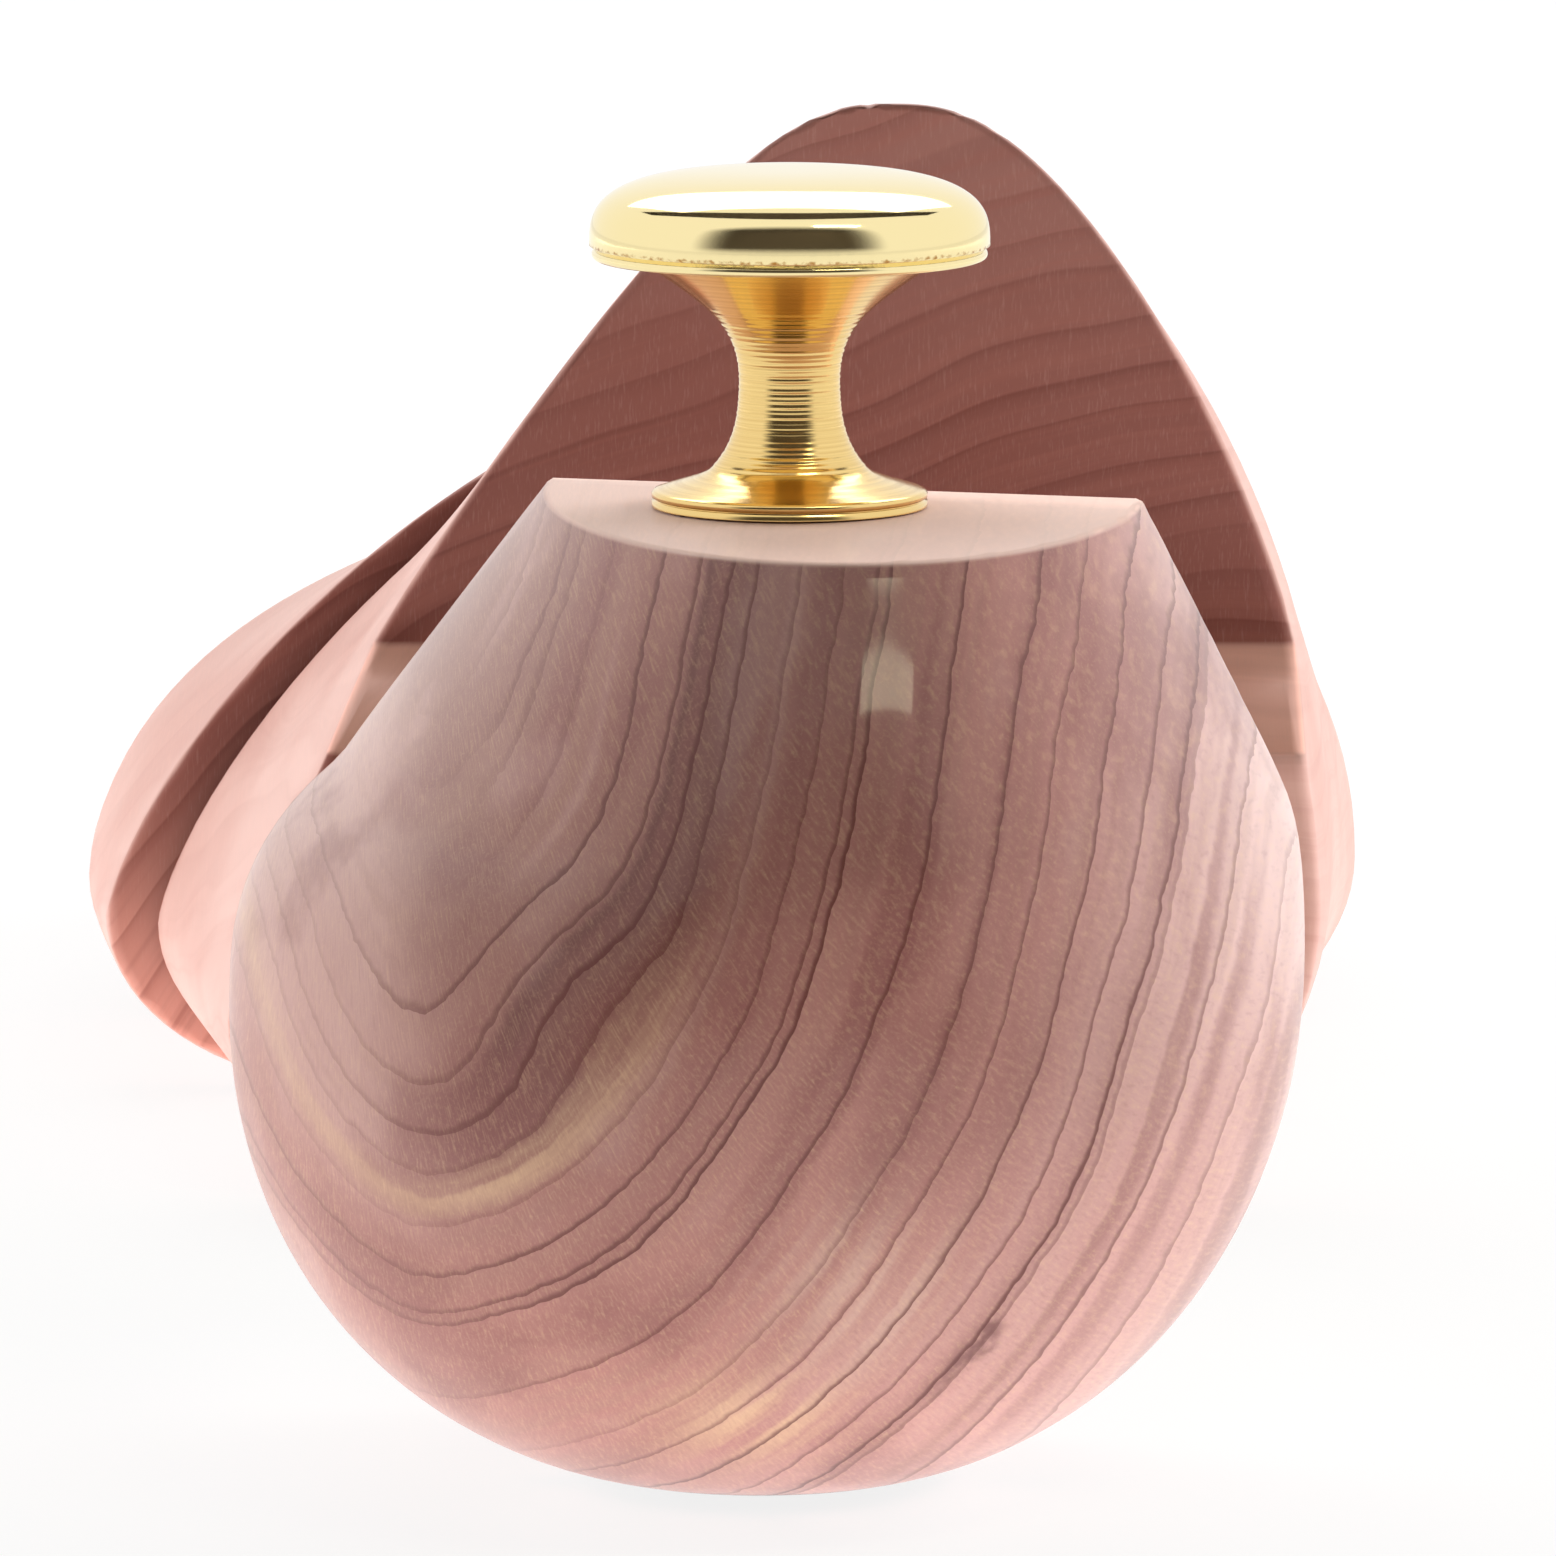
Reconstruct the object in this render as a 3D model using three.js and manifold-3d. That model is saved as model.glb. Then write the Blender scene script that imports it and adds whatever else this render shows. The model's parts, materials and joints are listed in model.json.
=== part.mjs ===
// A cedar shoe tree for a left shoe: a heel block on two telescoping tubes, sprung against a
// forepart whose outer half slides sideways. Millimetres, +Z up, +Y towards the toe, +X towards
// the inner side of the foot. The origin is on the floor, on the flat strip under the heel.
import * as THREE from "three";
import { LoftGeometry } from "three/addons/geometries/LoftGeometry.js";
import { mergeVertices } from "three/addons/utils/BufferGeometryUtils.js";
import Module from "manifold-3d";

// Clearances and facets
const GAP = 0.3; // between pieces that touch or slide
const ROUND = 24; // facets of tubes and of the knob
const BORE_ROUND = 16; // facets of pins, bushes and bores
const REACH = 400; // size of a cutter that must reach past everything
const OVERRUN = 1; // how far a bore's cutter starts outside the wood
const MERGE = 1e-4; // vertices closer than this are one

// Heel block: a bowl below, a tapered roof above, a flat top and a skewed flat front
const HEEL_TOP = 58;
const HEEL_MIDDLE = -1.5; // x of the bowl's lowest line
const HEEL_PLANED = 0.3; // planed off the bowl for the flat strip that it stands on
const HEEL_FULLNESS = 2.25; // power of the bowl's superellipse
const BOWL_LEFT = { half: 32.3, level: 31, above: 16 }; // reach, its height, rise of the rounding
const BOWL_RIGHT = { half: 32.9, level: 36.5, above: 60 };
const ROOF_LEFT = { half: 28.2, level: 40.6, taper: 0.767 }; // x at a level, and how it narrows
const ROOF_RIGHT = { half: 31.2, level: 40.4, taper: 0.5355 };
const ROOF_BLEND = 1.5; // softens where the bowl runs into the roof
const heelBack = through([
  [0, -2], [1, -9], [3, -15.5], [7, -22], [14, -27.3], [25, -30], [38, -28.5], [48, -23.5], [58, -16.4],
]); // y of the back at a height
const BOWL_WIDEST_Y = 2;
const ROOF_WIDEST_Y = 20.5;
const ROOF_START = 24; // the widest place moves forward between these two levels
const ROOF_FULL = 46;
const HEEL_FORWARD = 40; // how far the sections run on past their widest place
const HEEL_FRONT_Y = 20.6;
const HEEL_FRONT_SKEW = -0.295; // radians: the front face turns its outer edge towards the toe
const HEEL_RING = 44;
const BOWL_LEVELS = 11;
const BOWL_TOP = 34;
const ROOF_LEVELS = [36.5, 38.5, 40.5, 42.5, 45, 49, 53.5];

// Knob, in [radius, height above the heel]
const KNOB_Y = 10;
const KNOB_BASE = 0.1;
const KNOB_FLANGE = [8.34, 1];
const KNOB_NECK = [[4.8, 2.3], [3.1, 6.6], [4.2, 11.2], [10.4, 16]]; // from the flange up to the seat
const KNOB_SEAT = [10.4, 16.6]; // rim of the stem's top, held in the head
const KNOB_LIP = [[10.7, 15.6], [9.9, 15.3], [9.9, 15]]; // edge of the head, crimped under the seat
const KNOB_CURL = [11.15, 15.2];
const KNOB_SIDE = [[12.15, 16.3], [11.6, 18.4], [11, 19]]; // the head's side above its curled edge
const KNOB_HEIGHT = 20.5;
const KNOB_STEPS = 3; // points to a stretch of a curve
const KNOB_SCREW = { radius: 2, up: 11.5, down: 24, tip: 5 };

// Forepart
const FORE_START = 90;
const BALL_Y = 165;
const TOE_Y = 258;
const TOE_X = 4;
const foreLeft = through([[90, 37.6], [104, 39.4], [138, 45.2], [158, 47.8], [BALL_Y, 48.2]]); // reach at a y
const foreRight = through([[90, 35.6], [104, 37.2], [120, 38.2], [138, 39.8], [158, 41.6], [BALL_Y, 41.9]]);
const TOE_LEFT = { along: 1.9, across: 1.7 }; // powers of the plan outline ahead of the ball
const TOE_RIGHT = { along: 2.3, across: 2 };
const ridge = through([
  [90, 78.6], [98, 75], [104, 71.9], [138, 53.2], [158, 44.2], [175, 39], [205, 33], [235, 29.5], [258, 27],
]); // height of the ridge at a y
const ridgeX = through([[90, 6.7], [104, 6.5], [138, 5], [165, 4], [258, 4]]);
const leftFullness = through([[90, 1.24], [104, 1.24], [138, 1.4], [158, 1.6], [180, 1.95], [258, 2.2]]);
const rightFullness = through([[90, 1.6], [101, 1.62], [115, 1.9], [138, 2], [180, 2.1], [258, 2.2]]);
const RIDGE_SOFT = 0.17; // rounding of the ridge, as a share of the half width
const LEFT_WAIST = 12.3; // height of the widest line
const rightWaist = through([[90, 20], [120, 19], [150, 15], [170, 13], [258, 12.3]]);
const leftEdge = through([[90, 0.43], [170, 0.4], [258, 0.32]]); // sole's rounding, share of the half width
const rightEdge = through([[90, 0.5], [130, 0.5], [165, 0.38], [258, 0.32]]);
const SOLE_LIFT_Y = 190; // the sole is flat up to here, then lifts towards the toe
const SOLE_LIFT = 7;
const NOSE_Y = 234; // the toe's top and bottom close from here on
const NOSE_Z = 13.5;
const NOSE_BLUNT = 0.15; // the last section stops this share of a step short of the tip
const RING_UPPER = 12;
const RING_LOWER = 6;
const RING_SOLE = 3;
const FORE_STEP = 6;
const NOSE_STEPS = 7;

// Back of the forepart: a lower face, a sloping ledge and a leaning instep face
const LOWER_BACK_Y = 94;
const LEDGE_EDGE_Z = 30.8;
const CREASE_Y = 106;
const CREASE_Z = 36.7;
const INSTEP_TOP_Y = 97.2;
const INSTEP_TOP_Z = 79;

// Split forepart
const SPLIT_X = -2;
const SPLIT_Y = 138;
const SAW_CUT = 2;
const SPLIT_CLOSED = 0.6; // gap left along the split when the side is pressed in
const SIDE_TRAVEL = 3.4;
const SIDE_PINS = [["rear", 170, 15], ["front", 214, 14]];
const SIDE_PIN = 2.5; // radius
const SIDE_PIN_HEAD = 4.4;
const SIDE_PIN_HEAD_LONG = 2.5;
const SIDE_PIN_END = -20.6; // inner end of the pin, in the side's pressed-in place
const SIDE_BUSH = 4.7;
const SIDE_BUSH_LONG = 8;
const SIDE_SPRING = { radius: 3.6, wire: 0.8, turns: 6, long: 14.9 };

// Tubes
const TUBE_X = 14;
const TUBE_Z = 18.5;
const OUTER = { radius: 6, bore: 5.3, start: 64, end: 133, plug: 6 };
const INNER = { radius: 4, bore: 3.3, start: -13.7, end: 76 };
const GUIDE = { radius: 5, bore: 4.3, flange: 2, long: 12 };
const STOP = { radius: 5, long: 3, spigot: 3, spigotLong: 8 };
const MAIN_SPRING = { radius: 4.2, wire: 1.1, turns: 9 };
const COIL_STEPS = 8; // to a turn
const COIL_SIDES = 5;
const TUBE_PIN = 1.2; // radius
const HEEL_PIN_Y = 0;
const FORE_PIN_Y = OUTER.end - OUTER.plug / 2;
const PIN_SUNK = 0.5; // a pin's end lies this far below the wood
const PIN_INTO = 1; // how far a heel pin reaches into its tube

// Finishes
const CEDAR = { color: 0xb58c86, roughness: 0.45, metalness: 0 };
const BRASS = { color: 0xcfa34c, roughness: 0.18, metalness: 1 };
const PLATED = { color: 0xc4a368, roughness: 0.25, metalness: 1 };
const STEEL = { color: 0x9a9ea3, roughness: 0.35, metalness: 1 };
const NYLON = { color: 0xe6e2d6, roughness: 0.5, metalness: 0 };

const wasm = await Module();
wasm.setup();

// A smooth curve through points [place, value], as a function of the place.
function through(points) {
  const slope = points.map((point, i) => {
    const before = points[Math.max(i - 1, 0)];
    const after = points[Math.min(i + 1, points.length - 1)];
    return (after[1] - before[1]) / (after[0] - before[0]);
  });
  return (place) => {
    let i = 0;
    while (i < points.length - 2 && place > points[i + 1][0]) {
      i += 1;
    }
    const [start, value] = points[i];
    const [end, next] = points[i + 1];
    const span = end - start;
    const t = THREE.MathUtils.clamp((place - start) / span, 0, 1);
    const rise = (1 + 2 * t) * (1 - t) ** 2 * value + t * t * (3 - 2 * t) * next;
    return rise + span * t * (1 - t) * ((1 - t) * slope[i] - t * slope[i + 1]);
  };
}

// A closed geometry as a solid that can be joined and cut.
function toSolid(geometry) {
  const bare = new THREE.BufferGeometry().copy(geometry);
  bare.deleteAttribute("normal");
  bare.deleteAttribute("uv");
  const merged = mergeVertices(bare, MERGE);
  const vertProperties = new Float32Array(merged.attributes.position.array);
  const triVerts = new Uint32Array(merged.index.array);
  return new wasm.Manifold(new wasm.Mesh({ numProp: 3, vertProperties, triVerts }));
}

function toGeometry(solid) {
  const { vertProperties, triVerts } = solid.getMesh();
  const geometry = new THREE.BufferGeometry();
  geometry.setAttribute("position", new THREE.BufferAttribute(vertProperties, 3));
  geometry.setIndex(new THREE.BufferAttribute(triVerts, 1));
  geometry.computeVertexNormals();
  return geometry;
}

function cut(solid, cutters) {
  return cutters.reduce((rest, cutter) => rest.subtract(toSolid(cutter)), solid);
}

// A round bar or bore of a radius between two places along its axis.
function bar(axis, radius, start, end, facets = BORE_ROUND) {
  const geometry = new THREE.CylinderGeometry(radius, radius, end - start, facets);
  geometry.translate(0, (start + end) / 2, 0);
  if (axis === "x") geometry.rotateZ(-Math.PI / 2);
  if (axis === "z") geometry.rotateX(Math.PI / 2);
  return geometry;
}

// A block from one corner to the opposite one.
function block(low, high) {
  const size = high.map((value, i) => value - low[i]);
  const middle = high.map((value, i) => (value + low[i]) / 2);
  return new THREE.BoxGeometry(...size).translate(...middle);
}

function vectors(points) {
  return points.map(([x, y]) => new THREE.Vector2(x, y));
}

// A turned piece about Y, from a profile of [radius, place].
function turned(profile, facets = ROUND) {
  return new THREE.LatheGeometry(vectors(profile), facets);
}

// A tube about Y from its outer radius, bore and ends.
function tube(radius, bore, start, end, facets = ROUND) {
  return turned([[bore, start], [radius, start], [radius, end], [bore, end], [bore, start]], facets);
}

function piece(name, finish, geometry, place = [0, 0, 0]) {
  const mesh = new THREE.Mesh(geometry, new THREE.MeshStandardMaterial(finish));
  mesh.name = name;
  mesh.position.set(...place);
  return mesh;
}

// Heel block

// How far the bowl reaches from its middle at a height.
function bowlReach(bowl, z) {
  const height = z > bowl.level ? bowl.above : bowl.level;
  const away = Math.min(Math.abs(z - bowl.level) / height, 1);
  return bowl.half * (1 - away ** HEEL_FULLNESS) ** (1 / HEEL_FULLNESS);
}

function roofReach(roof, z) {
  return roof.half - roof.taper * (z - roof.level);
}

// The lesser of two reaches, eased where they are nearly alike.
function softLesser(a, b) {
  return (a + b - Math.hypot(a - b, ROOF_BLEND)) / 2;
}

// One level section of the heel, before its front is cut off.
function heelRing(z) {
  const bowlZ = z + HEEL_PLANED;
  const leftBowl = bowlReach(BOWL_LEFT, bowlZ) - HEEL_MIDDLE;
  const rightBowl = bowlReach(BOWL_RIGHT, bowlZ) + HEEL_MIDDLE;
  const left = Math.max(leftBowl, z > ROOF_LEFT.level ? roofReach(ROOF_LEFT, z) : 0);
  const right = softLesser(rightBowl, roofReach(ROOF_RIGHT, z));
  const middle = (right - left) / 2;
  const half = (right + left) / 2;
  const rise = THREE.MathUtils.smoothstep(z, ROOF_START, ROOF_FULL);
  const widest = THREE.MathUtils.lerp(BOWL_WIDEST_Y, ROOF_WIDEST_Y, rise);
  const backward = widest - heelBack(z);
  const ring = [];
  for (let i = 0; i < HEEL_RING; i += 1) {
    const angle = (2 * Math.PI * i) / HEEL_RING;
    const depth = Math.sin(angle) > 0 ? HEEL_FORWARD : backward;
    ring.push(new THREE.Vector3(middle + half * Math.cos(angle), widest + depth * Math.sin(angle), z));
  }
  return ring;
}

// Height of the bowl's underside at an x, near its widest section.
function heelUnderside(x) {
  const bowl = x < HEEL_MIDDLE ? BOWL_LEFT : BOWL_RIGHT;
  const across = Math.abs(x - HEEL_MIDDLE) / bowl.half;
  return bowl.level * (1 - (1 - across ** HEEL_FULLNESS) ** (1 / HEEL_FULLNESS)) - HEEL_PLANED;
}

function heelBlock() {
  const levels = ROOF_LEVELS.concat(HEEL_TOP);
  for (let i = 0; i <= BOWL_LEVELS; i += 1) {
    levels.push(BOWL_TOP * (1 - Math.cos((i / BOWL_LEVELS) * (Math.PI / 2))));
  }
  levels.sort((a, b) => a - b);
  const loft = new LoftGeometry(levels.map(heelRing), { closed: true, capStart: true, capEnd: true });
  const front = block([-REACH, 0, -REACH], [REACH, REACH, REACH]);
  front.rotateZ(HEEL_FRONT_SKEW).translate(0, HEEL_FRONT_Y, 0);
  const cutters = [front];
  for (const x of [-TUBE_X, TUBE_X]) {
    cutters.push(bar("y", INNER.radius + GAP, INNER.start - GAP, REACH, ROUND).translate(x, 0, TUBE_Z));
    cutters.push(bar("z", TUBE_PIN + GAP, -OVERRUN, TUBE_Z).translate(x, HEEL_PIN_Y, 0));
  }
  const { radius, down } = KNOB_SCREW;
  cutters.push(bar("z", radius + GAP, -down - OVERRUN, OVERRUN).translate(0, KNOB_Y, HEEL_TOP));
  return piece("heel_block", CEDAR, toGeometry(cut(toSolid(loft), cutters)));
}

// Knob: a turned stem, a pressed cap crimped over its rim and a screw down into the heel

// A turned piece of the knob, from its outline in radius and height.
function knobPiece(name, outline) {
  const geometry = new THREE.LatheGeometry(outline.getPoints(KNOB_STEPS), ROUND).rotateX(Math.PI / 2);
  return piece(name, BRASS, geometry, [0, KNOB_Y, HEEL_TOP]);
}

function knobStem() {
  const hole = KNOB_SCREW.radius + GAP;
  const holeTop = KNOB_SCREW.up + GAP;
  const outline = new THREE.Path();
  outline.moveTo(0, holeTop);
  outline.lineTo(hole, holeTop);
  outline.lineTo(hole, KNOB_BASE);
  outline.lineTo(KNOB_FLANGE[0], KNOB_BASE);
  outline.lineTo(...KNOB_FLANGE);
  outline.splineThru(vectors(KNOB_NECK));
  outline.lineTo(...KNOB_SEAT);
  outline.lineTo(0, KNOB_SEAT[1]);
  return knobPiece("knob_stem", outline);
}

function knobHead() {
  const ceiling = KNOB_SEAT[1] + GAP;
  const [shoulder] = KNOB_SIDE.at(-1);
  const outline = new THREE.Path();
  outline.moveTo(0, ceiling);
  outline.lineTo(KNOB_LIP[0][0], ceiling);
  KNOB_LIP.forEach((point) => outline.lineTo(...point));
  outline.lineTo(...KNOB_CURL);
  outline.splineThru(vectors(KNOB_SIDE));
  outline.quadraticCurveTo(shoulder / 2, KNOB_HEIGHT, 0, KNOB_HEIGHT);
  return knobPiece("knob_head", outline);
}

function knobScrew() {
  const { radius, up, down, tip } = KNOB_SCREW;
  const profile = [[0, -down], [radius, tip - down], [radius, up], [0, up]];
  const screw = turned(profile, BORE_ROUND).rotateX(Math.PI / 2);
  return piece("knob_screw", STEEL, screw, [0, KNOB_Y, HEEL_TOP]);
}

// Tubes of the heel, with the stop that keeps each in its outer tube
function heelTube(side, x) {
  const pipe = tube(INNER.radius, INNER.bore, INNER.start, INNER.end);
  const pinHole = bar("z", TUBE_PIN + GAP, -INNER.radius - OVERRUN, 0).translate(0, HEEL_PIN_Y, 0);
  return piece(`heel_tube_${side}`, PLATED, toGeometry(cut(toSolid(pipe), [pinHole])), [x, 0, TUBE_Z]);
}

function tubeStop(side, x) {
  const back = INNER.end + GAP;
  const profile = [
    [0, back - STOP.spigotLong],
    [STOP.spigot, back - STOP.spigotLong],
    [STOP.spigot, back],
    [STOP.radius, back],
    [STOP.radius, back + STOP.long],
    [0, back + STOP.long],
  ];
  return piece(`tube_stop_${side}`, NYLON, turned(profile), [x, 0, TUBE_Z]);
}

function heelTubePin(side, x) {
  const pin = bar("z", TUBE_PIN, heelUnderside(x) + PIN_SUNK, TUBE_Z - INNER.bore + PIN_INTO);
  return piece(`heel_tube_pin_${side}`, STEEL, pin, [x, HEEL_PIN_Y, 0]);
}

// Forepart

// Reach of the plan outline from the middle line: a curve behind the ball, a rounded toe ahead.
function planReach(y, curve, toe, tip) {
  if (y <= BALL_Y) return curve(y);
  const ahead = Math.min((y - BALL_Y) / (TOE_Y - BALL_Y), 1);
  return tip + (curve(BALL_Y) - tip) * (1 - ahead ** toe.along) ** (1 / toe.across);
}

// The sizes of one upright section of the forepart.
function foreSection(y) {
  const intoNose = THREE.MathUtils.clamp((y - NOSE_Y) / (TOE_Y - NOSE_Y), 0, 1);
  const open = Math.sqrt(1 - intoNose ** 2);
  const lift = THREE.MathUtils.clamp((y - SOLE_LIFT_Y) / (TOE_Y - SOLE_LIFT_Y), 0, 1);
  const closing = (z) => NOSE_Z + (z - NOSE_Z) * open;
  const left = planReach(y, foreLeft, TOE_LEFT, -TOE_X);
  const right = planReach(y, foreRight, TOE_RIGHT, TOE_X);
  const half = (left + right) / 2;
  return {
    top: closing(ridge(y)),
    ridgeX: ridgeX(y),
    sole: closing(SOLE_LIFT * lift ** 2),
    left: {
      sign: -1,
      reach: left,
      fullness: leftFullness(y),
      waist: closing(LEFT_WAIST),
      edge: half * leftEdge(y),
    },
    right: {
      sign: 1,
      reach: right,
      fullness: rightFullness(y),
      waist: closing(rightWaist(y)),
      edge: half * rightEdge(y),
    },
  };
}

// A point above the widest line: rise 0 is the widest line, rise 1 the ridge.
function upperPoint(size, flank, rise) {
  const power = 2 / flank.fullness;
  const reach = flank.reach - flank.sign * size.ridgeX;
  const angle = (rise * Math.PI) / 2;
  const soft = Math.hypot(1, RIDGE_SOFT) - RIDGE_SOFT;
  const across = Math.cos(angle) ** power * soft + RIDGE_SOFT;
  const x = size.ridgeX + flank.sign * reach * Math.sqrt(across ** 2 - RIDGE_SOFT ** 2);
  return [x, flank.waist + (size.top - flank.waist) * Math.sin(angle) ** power];
}

// A point below the widest line: fall 0 is the widest line, fall 1 the edge of the sole.
function lowerPoint(size, flank, fall) {
  const angle = (fall * Math.PI) / 2;
  const x = flank.sign * (flank.reach - flank.edge * (1 - Math.cos(angle)));
  return [x, flank.waist - (flank.waist - size.sole) * Math.sin(angle)];
}

// Shares of the way along one stretch of a ring, without its end.
function shares(count) {
  return Array.from({ length: count }, (_, i) => i / count);
}

function foreRing(y) {
  const size = foreSection(y);
  const { left, right, sole } = size;
  const [soleRight] = lowerPoint(size, right, 1);
  const [soleLeft] = lowerPoint(size, left, 1);
  const points = [
    ...shares(RING_UPPER).map((t) => upperPoint(size, right, 1 - t)),
    ...shares(RING_LOWER).map((t) => lowerPoint(size, right, t)),
    ...shares(RING_SOLE).map((t) => [THREE.MathUtils.lerp(soleRight, soleLeft, t), sole]),
    ...shares(RING_LOWER).map((t) => lowerPoint(size, left, 1 - t)),
    ...shares(RING_UPPER).map((t) => upperPoint(size, left, t)),
  ];
  return points.map(([x, z]) => new THREE.Vector3(x, y, z));
}

// Everything behind the back of the forepart, seen from the side.
function behindForepart() {
  const outline = new THREE.Shape();
  outline.moveTo(0, -REACH);
  outline.lineTo(LOWER_BACK_Y, -REACH);
  outline.lineTo(LOWER_BACK_Y, LEDGE_EDGE_Z);
  outline.lineTo(CREASE_Y, CREASE_Z);
  outline.lineTo(INSTEP_TOP_Y, INSTEP_TOP_Z);
  outline.lineTo(INSTEP_TOP_Y, REACH);
  outline.lineTo(0, REACH);
  const slab = new THREE.ExtrudeGeometry(outline, { depth: 2 * REACH, bevelEnabled: false });
  slab.translate(0, 0, -REACH).rotateY(Math.PI / 2).rotateX(Math.PI / 2);
  return slab;
}

function wholeForepart() {
  const places = [];
  for (let y = FORE_START; y <= NOSE_Y; y += FORE_STEP) {
    places.push(y);
  }
  for (let i = 1; i <= NOSE_STEPS; i += 1) {
    const angle = ((i - NOSE_BLUNT) / NOSE_STEPS) * (Math.PI / 2);
    places.push(NOSE_Y + (TOE_Y - NOSE_Y) * Math.sin(angle));
  }
  const loft = new LoftGeometry(places.map(foreRing), { closed: true, capStart: true, capEnd: true });
  return cut(toSolid(loft), [behindForepart()]);
}

const forepart = wholeForepart();
const bushEnd = SPLIT_X + SIDE_BUSH_LONG;
const headStart = bushEnd + GAP;
const sideSpringStart = headStart + SIDE_PIN_HEAD_LONG + GAP;

function foreBlock() {
  const cutters = [block([-REACH, SPLIT_Y, -REACH], [SPLIT_X, REACH, REACH])];
  for (const x of [-TUBE_X, TUBE_X]) {
    cutters.push(bar("y", OUTER.radius + GAP, 0, OUTER.end + GAP, ROUND).translate(x, 0, TUBE_Z));
    cutters.push(bar("z", TUBE_PIN + GAP, -OVERRUN, TUBE_Z).translate(x, FORE_PIN_Y, 0));
  }
  const boreEnd = sideSpringStart + SIDE_SPRING.long + GAP;
  for (const [, y, z] of SIDE_PINS) {
    cutters.push(bar("x", SIDE_BUSH + GAP, SPLIT_X - OVERRUN, boreEnd).translate(0, y, z));
  }
  return piece("fore_block", CEDAR, toGeometry(cut(forepart, cutters)));
}

// The sliding side, drawn in its pressed-in place: its group holds it out at rest.
function sideBlock() {
  const inner = SPLIT_X - SPLIT_CLOSED;
  const room = block([-REACH, SPLIT_Y + SAW_CUT, -REACH], [inner, REACH, REACH]);
  const bores = SIDE_PINS.map(([, y, z]) => {
    return bar("x", SIDE_PIN + GAP, SIDE_PIN_END - GAP, inner + OVERRUN).translate(0, y, z);
  });
  return piece("side_block", CEDAR, toGeometry(cut(forepart.intersect(toSolid(room)), bores)));
}

// Guide pin of the side: its head is kept behind the bush and the spring pushes on it.
function sidePin(place, y, z) {
  const head = headStart + SIDE_TRAVEL;
  const profile = [
    [0, SIDE_PIN_END],
    [SIDE_PIN, SIDE_PIN_END],
    [SIDE_PIN, head],
    [SIDE_PIN_HEAD, head],
    [SIDE_PIN_HEAD, head + SIDE_PIN_HEAD_LONG],
    [0, head + SIDE_PIN_HEAD_LONG],
  ];
  const pin = turned(profile, BORE_ROUND).rotateZ(-Math.PI / 2);
  return piece(`side_pin_${place}`, STEEL, pin, [0, y, z]);
}

function sideBush(place, y, z) {
  const bush = tube(SIDE_BUSH, SIDE_PIN + GAP, SPLIT_X, bushEnd, BORE_ROUND).rotateZ(-Math.PI / 2);
  return piece(`side_bush_${place}`, BRASS, bush, [0, y, z]);
}

// Outer tube: open at the heel's end, with a solid pinned end in the wood.
function foreTube(side, x) {
  const { radius, bore, start, end, plug } = OUTER;
  const floor = end - plug;
  const profile = [[0, floor], [bore, floor], [bore, start], [radius, start], [radius, end], [0, end]];
  const pinHole = bar("z", TUBE_PIN + GAP, -REACH, radius / 2 + GAP).translate(0, FORE_PIN_Y, 0);
  const pipe = cut(toSolid(turned(profile)), [pinHole]);
  return piece(`fore_tube_${side}`, PLATED, toGeometry(pipe), [x, 0, TUBE_Z]);
}

function foreTubePin(side, x) {
  const pin = bar("z", TUBE_PIN, PIN_SUNK, TUBE_Z + OUTER.radius / 2);
  return piece(`fore_tube_pin_${side}`, STEEL, pin, [x, FORE_PIN_Y, 0]);
}

// Nylon guide in the mouth of an outer tube.
function tubeGuide(side, x) {
  const mouth = OUTER.start - GAP;
  const profile = [
    [GUIDE.bore, mouth - GUIDE.flange],
    [OUTER.radius, mouth - GUIDE.flange],
    [OUTER.radius, mouth],
    [GUIDE.radius, mouth],
    [GUIDE.radius, OUTER.start + GUIDE.long],
    [GUIDE.bore, OUTER.start + GUIDE.long],
    [GUIDE.bore, mouth - GUIDE.flange],
  ];
  return piece(`tube_guide_${side}`, NYLON, turned(profile), [x, 0, TUBE_Z]);
}

// A compression spring about Y, as one wire.
class Coil extends THREE.Curve {
  constructor(size) {
    super();
    this.size = size;
  }

  getPoint(t, target = new THREE.Vector3()) {
    const { radius, wire, turns, long } = this.size;
    const angle = 2 * Math.PI * turns * t;
    const along = wire / 2 + (long - wire) * t;
    return target.set(radius * Math.sin(angle), along, radius * Math.cos(angle));
  }
}

function spring(name, size) {
  const path = new Coil(size);
  const outline = new THREE.Shape(shares(COIL_SIDES).map((t) => {
    const angle = 2 * Math.PI * t;
    return new THREE.Vector2(Math.cos(angle), Math.sin(angle)).multiplyScalar(size.wire / 2);
  }));
  const steps = size.turns * COIL_STEPS;
  const geometry = new THREE.ExtrudeGeometry(outline, { steps, extrudePath: path, bevelEnabled: false });
  const points = path.getPoints(steps);
  let least = Infinity;
  points.forEach((point, i) => {
    const later = points.slice(i + COIL_STEPS / 2);
    later.forEach((other) => {
      least = Math.min(least, point.distanceTo(other) - size.wire);
    });
  });
  console.log(`${name}: least gap between turns ${least.toFixed(2)} mm`);
  return geometry;
}

function mainSpring(side, x) {
  const start = INNER.end + STOP.long + 2 * GAP;
  const long = OUTER.end - OUTER.plug - GAP - start;
  const name = `main_spring_${side}`;
  return piece(name, STEEL, spring(name, { ...MAIN_SPRING, long }), [x, start, TUBE_Z]);
}

function sideSpring(place, y, z) {
  const name = `side_spring_${place}`;
  const coil = spring(name, SIDE_SPRING).rotateZ(-Math.PI / 2);
  return piece(name, STEEL, coil, [sideSpringStart, y, z]);
}

// The assembly
const heel = new THREE.Group();
heel.add(heelBlock(), knobStem(), knobHead(), knobScrew());

const fore = new THREE.Group();
fore.add(foreBlock());

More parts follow.
